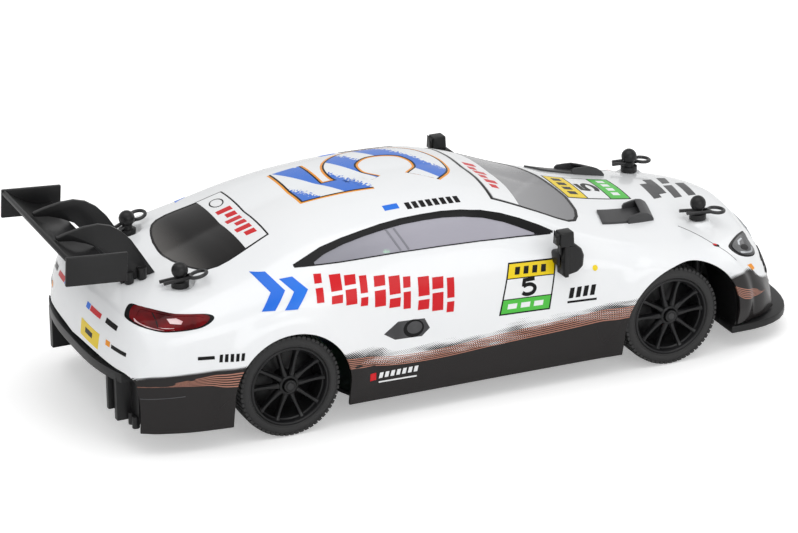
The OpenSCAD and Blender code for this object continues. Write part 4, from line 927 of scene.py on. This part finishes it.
def topArt():
    plate = artSet["bonnetPlate"]
    onTop("printBlack", plate, 0.05)
    for label, u0, u1 in (("filmYellow", 0.02, 0.31), ("filmWhite", 0.33, 0.67), ("filmGreen", 0.69, 0.98)):
        onTop(label, leaning(plate, u0, 0.03, u1, 0.97), 0.09)
    for k in range(4):
        for label, u0, u1 in (("printBlack", 0.10, 0.23), ("filmWhite", 0.78, 0.89)):
            onTop(label, leaning(plate, u0, 0.12 + 0.2 * k, u1, 0.24 + 0.2 * k), 0.13)
    for part in numeral((76, 0), (0, 13), (-8.5, 0), 2.2):
        onTop("printBlack", part, 0.13, dice=1.0)
    for label, thick, lift in (("filmOrange", 3.4, 0.05), ("printBlack", 1.6, 0.09), ("numberStripes", 0, 0.13)):
        for part in numeral(*artSet["roofNumber"], artSet["roofStroke"] + thick):
            onTop(label, part, lift)
    # white bands with red blocks across the top of both screens
    onTop("filmWhite", mirrored([(-82.3, -26.2), (-92.3, -28.1)], [(-92.6, 0)]) + [(-82.3, 0)], 0.12)
    onTop("filmWhite", mirrored([(16.2, -32.6), (26.5, -35.2), (28.5, -18)], [(29, 0)])
          + [(17.4, 15), (17.4, -15)], 0.12)
    for k in range(6):
        y = -21 + 5.4 * k
        tall = 6.4 if k % 2 else 4.4
        onTop("filmRed", [(-84.4, y), (-84.4 - tall, y + 0.6), (-84.4 - tall, y + 4), (-84.4, y + 3.6)], 0.16)
        onTop("filmRed", [(20, y - 2), (19 + tall, y - 2), (19 + tall, y + 1.6), (20, y + 1.6)], 0.16)
    onTop("printBlack", strip(oval(-87.4, 17.5, 2.6, 4.2), 0.6, True), 0.16, dice=1.0)
    # broken dark slashes ahead of the bonnet's clips
    for x, y0, y1 in ((102, -13, 6), (107, -8, 13), (112.5, -12, 4), (116, 6, 17), (121, -9, 9)):
        onTop("filmGrey", [(x, y0), (x + 4.4, y0 + 1.5), (x + 7, y1), (x + 2.2, y1 - 1.2)])


for side, ink in onSide.items():
    sideArt(side, ink)
tailArt()
topArt()

print("lamps")
tailLamp = curved([(-143.6, 57.8), (-147.1, 56.1), (-147.1, 54.6), (-140.2, 52.8), (-134.8, 52.2), (-123.1, 52.9),
                   (-117.3, 55.4), (-119.5, 57), (-130.8, 57.2), (-139.5, 57.6)], 5, True)
headLamp = curved([(-34.6, 43.6), (-40.6, 44.9), (-48.1, 44.8), (-50.8, 43), (-51, 40.4), (-49, 38.3),
                   (-45.7, 37.1), (-42.2, 37.6), (-40.4, 40), (-38, 41.9)], 5, True)
reflector = curved([(-50, 41.2), (-48.2, 39.8), (-45.6, 38.9), (-43, 39.6)], 5)
shutLine = curved([(101, 36.7), (104.5, 40), (107.8, 43.9), (111.9, 49.6), (116.6, 53.6), (119.6, 55)])
for side, ink in onSide.items():
    ink("printBlack", grown(tailLamp, 1.03))
    ink("lampRed", grown(tailLamp, 0.93), 0.45, thick=0.6)
    # a painted highlight patch and a painted highlight stripe on each tail lamp's red
    ink("lampPale", [(-134.5, 55.8), (-131, 56), (-129, 55.2), (-130, 54.3), (-134, 54.6)], 0.5, dice=1.0)
    ink("lampPale", strip(curved([(-145.8, 55), (-142.5, 53.9), (-138, 53.1), (-133, 52.9)]), 0.7), 0.5, dice=1.0)
    ink("printBlack", strip([(-138.3, 56.8), (-138.9, 53.2)], 0.4), 0.5, dice=1.0)
    ink("lampRed", strip(grown(tailLamp, 0.80), 0.5, True), 0.58, thick=0.4, dice=1.0)
    lamp = handed(headLamp, -side)
    onNose("printBlack", grown(lamp, 1.04))
    onNose("lampSmoke", grown(lamp, 0.9), 0.40, thick=0.55, dice=1.0)
    onNose("lampSilver", strip(handed(reflector, -side), 0.75), 0.5, dice=1.0)
    onNose("lampSilver", strip(handed([(41.5, 43.6), (44.6, 43.9), (46.8, 43.2)], side), 0.5), 0.5, dice=1.0)
    onNose("printBlack", oval(side * 46.3, 41.5, 1.7, 1.2), 0.52, dice=1.0)
    onTop("filmGrey", strip(handed(shutLine, side, "plan"), 0.34), 0.06, dice=1.0)
    onTop("printBlack", oval(112.4, side * 50, 1.5, 0.9), dice=0.8)
    onTop("filmRed", oval(111.9, side * 49.6, 1.0, 0.6), 0.16, dice=0.8)
    onNose("filmOrange", handed([(50.5, 35.5), (52.5, 36), (52, 33), (50.5, 33)], side))

print("nose")
grille = [(-20, 41), (-22.5, 38), (-21, 31), (-17, 26.5), (17, 26.5), (21, 31), (22.5, 38), (20, 41)]
onNose("printBlack", grille, 0.08)
onNose("lampSilver", strip(grille, 0.9, True), 0.5, thick=0.6)
for z in (29.5, 32.5, 35.5, 38.5):
    onNose("trimBlack", strip([(-20.5, z), (20.5, z)], 0.9), 0.7, thick=0.9)
for y in (-12, -4, 4, 12):
    onNose("trimBlack", strip([(y, 27), (y, 40.5)], 0.6), 0.5, thick=0.7)
for z in (22.5, 18.5):
    onNose("trimBlack", strip([(-34, z), (34, z)], 1.0), 0.6, thick=0.8)
for side in (-1, 1):
    onNose("printBlack", handed([(27, 35), (41, 33.5), (44, 27), (40, 24.5), (29, 26)], side), 0.08)
    for z in (27.5, 30.5, 33):
        onNose("trimBlack", strip(handed([(28.5, z), (42, z - 0.8)], side), 0.7), 0.5, thick=0.7)

print("wheels")
wheelSet = {"out": 60.0, "seat": 16.8, "width": 18.0, "tyreR": 22.0, "hub": 4.4, "bore": 2.75, "pairs": 5,
            "lean": 16.0, "spokeIn": 2.5, "spokeOut": 1.7, "blocks": 60, "share": 0.74,
            # (inner edge, outer edge) across the tyre, and how far each row of blocks leans round it
            "rows": [(-17.5, -13.9, -0.30), (-13.3, -9.4, 0.25), (-8.6, -4.7, -0.25), (-4.1, -0.5, 0.30)]}


def rimMesh():
    # barrel with a rolled lip, hub with a socket for the nut, and paired spokes with a ridge along each
    w = wheelSet
    seat, depth, hubR = w["seat"], w["width"], w["hub"]
    barrel = spun("rim", [(seat - 0.4, 1 - depth), (seat - 0.1, 1.4 - depth), (seat - 0.05, -1.9),
                          (seat + 0.1, -1.2), (seat, -0.6), (seat - 0.4, -0.35), (seat - 0.9, -0.5),
                          (seat - 1.25, -1.0), (seat - 1.5, -2.2), (seat - 1.75, -2.6), (seat - 2.1, -2.9),
                          (seat - 2.2, -6), (seat - 2.0, 2.4 - depth), (seat - 1.5, 1 - depth)], 96)
    hub = spun("hub", [(w["bore"], 4 - depth), (w["bore"], -2.0), (w["bore"] + 0.35, -1.55), (hubR - 1.0, -1.45),
                       (hubR - 0.3, -1.9), (hubR, -2.7), (hubR + 0.2, -4.6), (hubR - 0.4, 4 - depth)], 64)
    # a dark disc closing the rim behind the spokes, standing in for the shade inside the wheel
    web = spun("web", [(hubR - 0.6, -11.8), (hubR - 0.6, -10.6), (8, -11.4), (seat - 1.9, -12.6),
                       (seat - 1.9, -13.8), (8, -12.6)], 64)
    pieces = [barrel, hub, web]
    # along a spoke: radius, height of its ridge, width and depth; then its section as (across, down)
    stops = [(hubR - 0.9, -2.0, w["spokeIn"], 2.9), (6.5, -2.35, 2.0, 2.6), (9.5, -2.6, 1.75, 2.4),
             (12.5, -2.45, w["spokeOut"], 2.4), (14.6, -2.0, 1.9, 2.6), (seat - 1.3, -1.5, 2.5, 2.9)]
    section = [(-0.5, None), (-0.5, 0.75), (-0.28, 0.12), (0, 0), (0.28, 0.12), (0.5, 0.75), (0.5, None)]
    n = len(section)
    for k in range(w["pairs"]):
        for twin in (-1, 1):
            # a spoke starts nearer to its twin and opens towards the rim
            turn0 = math.radians(90 + 360 * k / w["pairs"] + twin * (w["lean"] + 4))
            turn1 = math.radians(90 + 360 * k / w["pairs"] + twin * w["lean"])
            points, faces = [], []
            for r, front, wide, deep in stops:
                share = (r - stops[0][0]) / (stops[-1][0] - stops[0][0])
                turn = turn0 + (turn1 - turn0) * min(1, share * 1.6)
                out = Vector((math.cos(turn), math.sin(turn), 0))
                across = Vector((-out.y, out.x, 0))
                for a, drop in section:
                    down = deep if drop is None else drop
                    points.append((out * r + across * a * wide + Vector((0, 0, front - down))) * mm)
            for i in range(len(stops) - 1):
                for j in range(n):
                    a, b = i * n + j, i * n + (j + 1) % n
                    faces.append([a, b, b + n, a + n])
            faces += [list(range(n))[::-1], list(range(len(points) - n, len(points)))]
            spoke = meshPiece("spoke", points, faces)
            tidyMesh(spoke)
            pieces.append(spoke)
    whole = joined("rim", pieces)
    smooth(whole, 32)
    return whole


def tyreMesh():
    w = wheelSet
    seat, depth, outer = w["seat"], w["width"], w["tyreR"]
    side = [(seat - 0.2, -1.2), (seat + 0.25, -0.5), (seat + 0.6, -0.15), (seat + 0.95, -0.35), (seat + 1.5, -0.2),
            (seat + 2.6, -0.25), (seat + 3.3, -0.6), (outer - 0.95, -1.0), (outer - 0.75, -2.4)]
    body = spun("tyre", side + [(r, -depth - z) for r, z in side[::-1]], 120)
    smooth(body)
    work = bmesh.new()
    step = 2 * math.pi / w["blocks"]
    for k in range(w["blocks"]):
        for low, high, lean in w["rows"]:
            corners = []
            for z, shift in ((low, -lean / 2), (high, lean / 2)):
                edge = min(-z, depth + z)
                crown = outer - 0.75 * max(0, 1 - edge / 2.2) ** 2
                for share in (-0.5, 0.5):
                    turn = step * (k + share * w["share"] + shift)
                    for r in (outer - 1.6, crown):
                        corners.append(work.verts.new((r * math.cos(turn) * mm, r * math.sin(turn) * mm, z * mm)))
            for face in ((0, 1, 3, 2), (4, 6, 7, 5), (0, 4, 5, 1), (2, 3, 7, 6), (1, 5, 7, 3), (0, 2, 6, 4)):
                work.faces.new([corners[i] for i in face])
    bmesh.ops.recalc_face_normals(work, faces=work.faces[:])
    blocks = workPiece("blocks", work)
    eased(blocks, 0.12, 30, 1)
    smooth(blocks, 30)
    return joined("tyre", [body, blocks])


def placedWheel(pattern, name, x, side):
    piece = copied(pattern, name)
    piece.data.transform(Matrix.Translation(spot(x, side * wheelSet["out"], wheelZ))
                         @ Matrix.Rotation(math.radians(-90 * side), 4, "X"))
    return piece


rimPattern, tyrePattern = rimMesh(), tyreMesh()
for end, x, body in (("front", halfBase, "wheel_front_"), ("rear", -halfBase, "rear_wheels")):
    for side, label in sideNames.items():
        rides = body + label if end == "front" else body
        for stem, pattern in (("rim", rimPattern), ("tyre", tyrePattern)):
            finish, slot = ("wheelBlack", "trim_black") if stem == "rim" else ("tyreBlack", "tyre_black")
            piece = placedWheel(pattern, stem + end.title() + label.title(), x, side)
            finished(piece, finish, slot, rides, f"{stem}_{end}_{label}")
print("wheel faces", len(rimPattern.data.polygons), len(tyrePattern.data.polygons))
for pattern in (rimPattern, tyrePattern):
    bpy.data.objects.remove(pattern, do_unlink=True)


record = frame["record"]
bodyOf = {label: body for body, labels in record["behaviour"]["bodies"].items() for label in labels}
slotOf = {part["node"]: part["material_slot"] for part in record["subparts"]}


def softened(label, finish, width):
    # a moulded part's own form with its edges eased
    source = nodes[label]
    piece = copied(source, label.title().replace("_", "") + "Eased")
    piece.parent = None
    piece.matrix_world = source.matrix_world.copy()
    settle(piece)
    wholeMesh(piece, (bpy.ops.mesh.remove_doubles, {"threshold": 0.005 * mm}),
              (bpy.ops.mesh.dissolve_limited, {"angle_limit": math.radians(1.0)}))
    if width:
        eased(piece, width, 35, 3 if width > 0.4 else 2)
    smooth(piece)
    return finished(piece, finish, slotOf[label], bodyOf[label], label)


def both(*stems):
    return [stem + "_" + side for stem in stems for side in ("left", "right")]


easedParts = {
    # finish, eased width in mm: the parts
    ("trimBlack", 0.35): ["wing_blade", *both("wing_endplate", "wing_upright"), "chassis_pan", "gearbox_case"],
    ("trimBlack", 0.5): ["front_splitter", "rear_diffuser"],
    ("trimBlack", 0.25): ["front_beam", *both("knuckle"), "steering_rack", "servo_case", "gearbox_cover",
                          "axle_carriers", "battery_strap", "switch_body"],
    ("trimBlack", 0.18): ["body_posts_front", "body_posts_rear", *both("wheel_nut_front"), "wheel_nuts_rear"],
    ("clipBlack", 0): both("body_clip_front", "body_clip_rear"),
    ("clipBlack", 0.15): [*both("stub_axle"), "rear_axle"],
    ("steel", 0.2): ["kingpins", "idler_shaft", "motor_can"],
    ("nylonWhite", 0.15): ["servo_horn"],
    ("wrapBlue", 0.8): ["battery_pack"],
    ("boxGrey", 0.3): ["circuit_box"],
    ("knobRed", 0.15): ["switch_knob"]}

print("parts with eased edges")
for (finish, width), labels in easedParts.items():
    for label in labels:
        softened(label, finish, width)


def block(centre, size, edge, taper=1.0, segments=3):
    # a rounded block with its top narrowed
    bpy.ops.mesh.primitive_cube_add(size=1, location=(0, 0, 0))
    piece = bpy.context.object
    for v in piece.data.vertices:
        share = taper if v.co.z > 0 else 1
        v.co = Vector((v.co.x * size[0] * share, v.co.y * size[1] * share, v.co.z * size[2])) * mm
    piece.data.transform(Matrix.Translation(spot(*centre)))
    modify(piece, "BEVEL", width=edge * mm, segments=segments, limit_method="NONE")
    smooth(piece)
    return piece


# blocks: centre, size, rounded edge, and what share of its width the top keeps
mirrorSet = {"upper": ((34.0, 63.2, 67.7), (6.4, 6.0, 6.2), 0.5, 0.92),
             "plate": ((34.2, 62.0, 58.1), (1.8, 7.4, 14.6), 0.45, 1.0),
             "arm": ((34.4, 57.2, 56.9), (5.0, 8.0, 5.6), 1.3, 0.9),
             # side view of the seven-sided pod ahead of the plate, as (place along the car, height)
             "pod": [(33.6, 50.9), (39.6, 52.0), (42.2, 54.3), (42.6, 59.1), (41.4, 62.1), (38.6, 64.5),
                     (33.6, 65.3)],
             "podIn": 58.9, "podOut": 64.2, "podRim": 1.1,
             # panels let into the rear faces: which block, border and depth
             "panels": (("upper", 0.7, 0.9), ("plate", 0.8, 0.25))}


def mirrorPiece(side, label):
    m, parts = mirrorSet, {}
    for name in ("upper", "plate", "arm"):
        (x, y, z), *shape = m[name]
        parts[name] = block((x, side * y, z), *shape)
    for name, border, depth in m["panels"]:
        sunk(parts[name], lambda c, n: n.x < -0.9, border, depth)
    pod = prism("pod", m["pod"], "side", side * m["podIn"], side * m["podOut"])
    chosen(pod, lambda c, n: n.y * side > 0.9)
    bpy.ops.mesh.inset(thickness=m["podRim"] * mm)
    bpy.ops.transform.translate(value=(0, side * m["podRim"] * mm, 0))
    bpy.ops.object.mode_set(mode="OBJECT")
    eased(pod, 0.45, 20)
    smooth(pod, 35)
    mirror = joined("mirror" + label.title(), [*parts.values(), pod])
    return finished(mirror, "trimBlack", "trim_black", "car", "mirror_" + label)


ventSet = {"rear": (65.6, 32.6), "yaw": -12.8, "sweep": -0.25, "long": 28.2, "trayHalf": 5.5, "tray": 0.9,
           "half": 6.2, "wall": 1.1, "mouth": 14.0, "roof": 21.0, "under": -0.9,
           "trayShort": 1.5, "frontWall": 2.4, "roofWall": 0.8, "floor": -0.2,
           # the cut that opens the cowl's rear: how far back it starts, its top and its bottom
           "open": (3, 9.0, -2.0),
           # height of the cowl over the bonnet along the vent
           "rise": [(14.0, 1.7), (15.0, 2.8), (18.0, 3.5), (21.5, 4.1), (24.5, 3.8), (27.0, 2.4), (28.2, 0.9)]}


def riseAt(u):
    line = ventSet["rise"]
    for (a, ra), (b, rb) in zip(line, line[1:]):
        if u <= b:
            return ra + (rb - ra) * max(0.0, u - a) / (b - a)
    return line[-1][1]


def ventBlock(fromU, toU, half, top, low, cuts=8):
    # a cut block in the vent's own frame: along it, across it and up from the bonnet
    bpy.ops.mesh.primitive_cube_add(size=1, location=(0, 0, 0))
    piece = bpy.context.object
    chosen(piece, lambda c, n: True)
    bpy.ops.mesh.subdivide(number_cuts=cuts)
    bpy.ops.object.mode_set(mode="OBJECT")
    for p in piece.data.vertices:
        u = fromU + (p.co.x + 0.5) * (toU - fromU)
        high = top(u) if callable(top) else top
        p.co = (u * mm, 2 * half * p.co.y * mm, (low + (p.co.z + 0.5) * (high - low)) * mm)
    return piece


def ontoBonnet(piece, side):
    v = ventSet
    turn = math.radians(v["yaw"])
    for p in piece.data.vertices:
        u, w, up = p.co.x / mm, p.co.y / mm, p.co.z / mm
        x = v["rear"][0] + u * math.cos(turn) + w * v["sweep"]
        y = side * (v["rear"][1] + u * math.sin(turn) + w)
        p.co = spot(x, y, crownAt(x, y) + up)
    if side < 0:
        piece.data.flip_normals()


def ventPiece(side, label):
    # a flat tray let on to the bonnet, and a cowl over its front half that is open to the rear
    v = ventSet
    inner = v["half"] - v["wall"]
    back, top, low = v["open"]
    tray = ventBlock(0, v["long"] - v["trayShort"], v["trayHalf"], v["tray"], v["under"])
    eased(tray, 0.35, 50)
    cowl = ventBlock(v["mouth"], v["long"], v["half"], riseAt, v["under"], 12)
    eased(cowl, 0.5, 50, 3)
    cutAway(cowl, ventBlock(v["mouth"] - back, v["roof"], inner, top, low, 1))
    cutAway(cowl, ventBlock(v["roof"] - 1, v["long"] - v["frontWall"], inner, lambda u: riseAt(u) - v["roofWall"],
                            v["floor"], 12))
    eased(cowl, 0.15, 60)
    for part in (tray, cowl):
        ontoBonnet(part, side)
        smooth(part)
    vent = joined("vent" + label.title(), [tray, cowl])
    return finished(vent, "ventGrey", "trim_black", "car", "bonnet_vent_" + label)


archShadeSet = {"from": -22, "to": 78, "gap": 0.4, "thick": 1.0, "inner": 31.0, "outer": 55.5}


def archShadePanel(side, label):
    # a curved black panel behind each front wheel opening, which closes the nose off and stands in for the shade
    # inside the arch
    l = archShadeSet
    x, z, radius = shellSet["frontArch"]
    turns = [l["from"] + (l["to"] - l["from"]) * i / 30 for i in range(31)]
    inner = radius + l["gap"]
    outline = arcOf(x, z, inner, turns) + arcOf(x, z, inner + l["thick"], turns[::-1])
    panel = prism("archShadePanel", outline, "side", *sorted((side * l["inner"], side * l["outer"])))
    smooth(panel, 35)
    return finished(joined("archShadePanel" + label.title(), [panel]), "trimBlack", "trim_black", "car")


for side in (-1, 1):
    archShadePanel(side, sideNames[side])
for side in (-1, 1):
    mirrorPiece(side, sideNames[side])
    ventPiece(side, sideNames[side])

print("underside")
floorSet = {"z": 8.0, "door": (2.0, 0.0), "doorSize": (58.0, 40.0), "proud": 0.7, "let": 0.3, "edge": 0.3,
            "grooves": 7, "grooveSize": (40.0, 1.4, 0.7), "grooveShift": 4, "grooveEdge": 0.25,
            "catchSize": (3.4, 6, 1.0), "catchBack": 1.2, "catchOut": 11, "catchDown": 0.4,
            "screws": [(-112, 22), (-60, 40), (-20, 46), (30, 46), (58, 22), (98, 22), (112, 26)]}


def screwPattern():
    # a pan head with a cross let into it, looking down
    head = spun("screw", [(0.01, 0.35), (1.2, 0.35), (1.9, 0.15), (2.2, -0.15), (2.2, -0.6), (0.01, -0.6)], 28)
    for turn in (0, 90):
        bpy.ops.mesh.primitive_cube_add(size=1, location=(0, 0, 0.35 * mm))
        slot = bpy.context.object
        slot.scale = (2.3 * mm, 0.5 * mm, 0.9 * mm)
        slot.rotation_euler = (0, 0, math.radians(turn))
        settle(slot)
        cutAway(head, slot)
    head.data.transform(Matrix.Rotation(math.pi, 4, "X"))
    tidyMesh(head)
    smooth(head, 35)
    return head


def underside():
    f = floorSet
    x, y = f["door"]
    long, wide = f["doorSize"]
    parts = [block((x, y, f["z"] + (f["let"] - f["proud"]) / 2), (long, wide, f["proud"] + f["let"]), f["edge"])]
    pitch = wide / (f["grooves"] + 2)
    for k in range(f["grooves"]):
        across = y + pitch * (k - (f["grooves"] - 1) / 2)
        parts.append(block((x + f["grooveShift"], across, f["z"] - f["proud"] - 0.1), f["grooveSize"],
                           f["grooveEdge"], segments=2))
    # two catches at the door's rear edge
    for s in (-1, 1):
        parts.append(block((x - long / 2 - f["catchBack"], y + s * f["catchOut"], f["z"] - f["catchDown"]),
                           f["catchSize"], f["edge"]))
    finished(joined("floorDoor", parts), "boxGrey", "box_grey", "car")
    head, copies = screwPattern(), []
    for px, py in f["screws"]:
        for s in (-1, 1):
            screw = copied(head, "screw")
            screw.data.transform(Matrix.Translation(spot(px, s * py, f["z"])))
            copies.append(screw)
    bpy.data.objects.remove(head, do_unlink=True)
    finished(joined("floorScrews", copies), "steel", "steel", "car")


underside()

print("floor and light")
lightSet = {"world": 0.66, "floorGlow": 0.35, "floorSize": 8,
            # place and aim in metres, size and power of each soft light
            "keyLight": ((-0.1, -0.2, 1.5), (0, 0, 0.03), (1.8, 1.2), 8.9),
            "sideLight": ((0.2, -1.8, 0.7), (0, 0, 0.05), (1.6, 0.8), 7.0),
            "frontLight": ((1.6, 0.4, 0.8), (0, 0, 0.05), (1.0, 0.8), 1.6)}
bpy.ops.mesh.primitive_plane_add(size=lightSet["floorSize"], location=(0, 0, 0))
ground = bpy.context.object
ground.name = "paleFloor"
floorFinish, floorTree, floorShader = nodeMaterial("paleFloor")
rays = addNode(floorTree, "ShaderNodeLightPath")
glow = calc(floorTree, "MULTIPLY", rays["Is Camera Ray"], lightSet["floorGlow"])
fill(floorTree, floorShader, {"Base Color": (0.9, 0.9, 0.9, 1), "Roughness": 0.6,
                              "Emission Color": (1, 1, 1, 1), "Emission Strength": glow})
ground.data.materials.append(floorFinish)

for name in ("keyLight", "sideLight", "frontLight"):
    place, aim, size, power = lightSet[name]
    bpy.ops.object.light_add(type="AREA", location=place)
    lamp = bpy.context.object
    lamp.name = name
    lamp.data.shape = "RECTANGLE"
    lamp.data.size, lamp.data.size_y = size
    lamp.data.energy = power
    lamp.rotation_euler = (Vector(place) - Vector(aim)).to_track_quat("Z", "Y").to_euler()
world = bpy.data.worlds.new("studio")
bpy.context.scene.world = world
world.use_nodes = True
skyTree = world.node_tree
skyRays = addNode(skyTree, "ShaderNodeLightPath")
skyAmount = addNode(skyTree, "ShaderNodeMapRange", {"To Min": lightSet["world"], "To Max": 1.0,
                                                    "Value": skyRays["Is Camera Ray"]})
fill(skyTree, skyTree.nodes["Background"], {"Color": (1, 1, 1, 1), "Strength": skyAmount["Result"]})

print("plain finishes on the carried-over parts")
plainParts = [("trimBlack", both("mirror", "bonnet_vent")), ("wheelBlack", both("rim_front", "rim_rear")),
              ("tyreBlack", both("tyre_front", "tyre_rear")), ("steel", ["motor_pinion", "axle_bearings"]),
              ("nylonWhite", ["axle_gear", "idler_gear"]), ("ledGreen", ["status_led"])]
for label, names in plainParts + [(finish, names) for (finish, width), names in easedParts.items()]:
    for name in names:
        nodes[name].data.materials.clear()
        nodes[name].data.materials.append(finishes[label])

for label, pieces in films.items():
    finished(joined(label + "Print", pieces), label, "shell_white", "car")
bpy.data.objects.remove(guide, do_unlink=True)
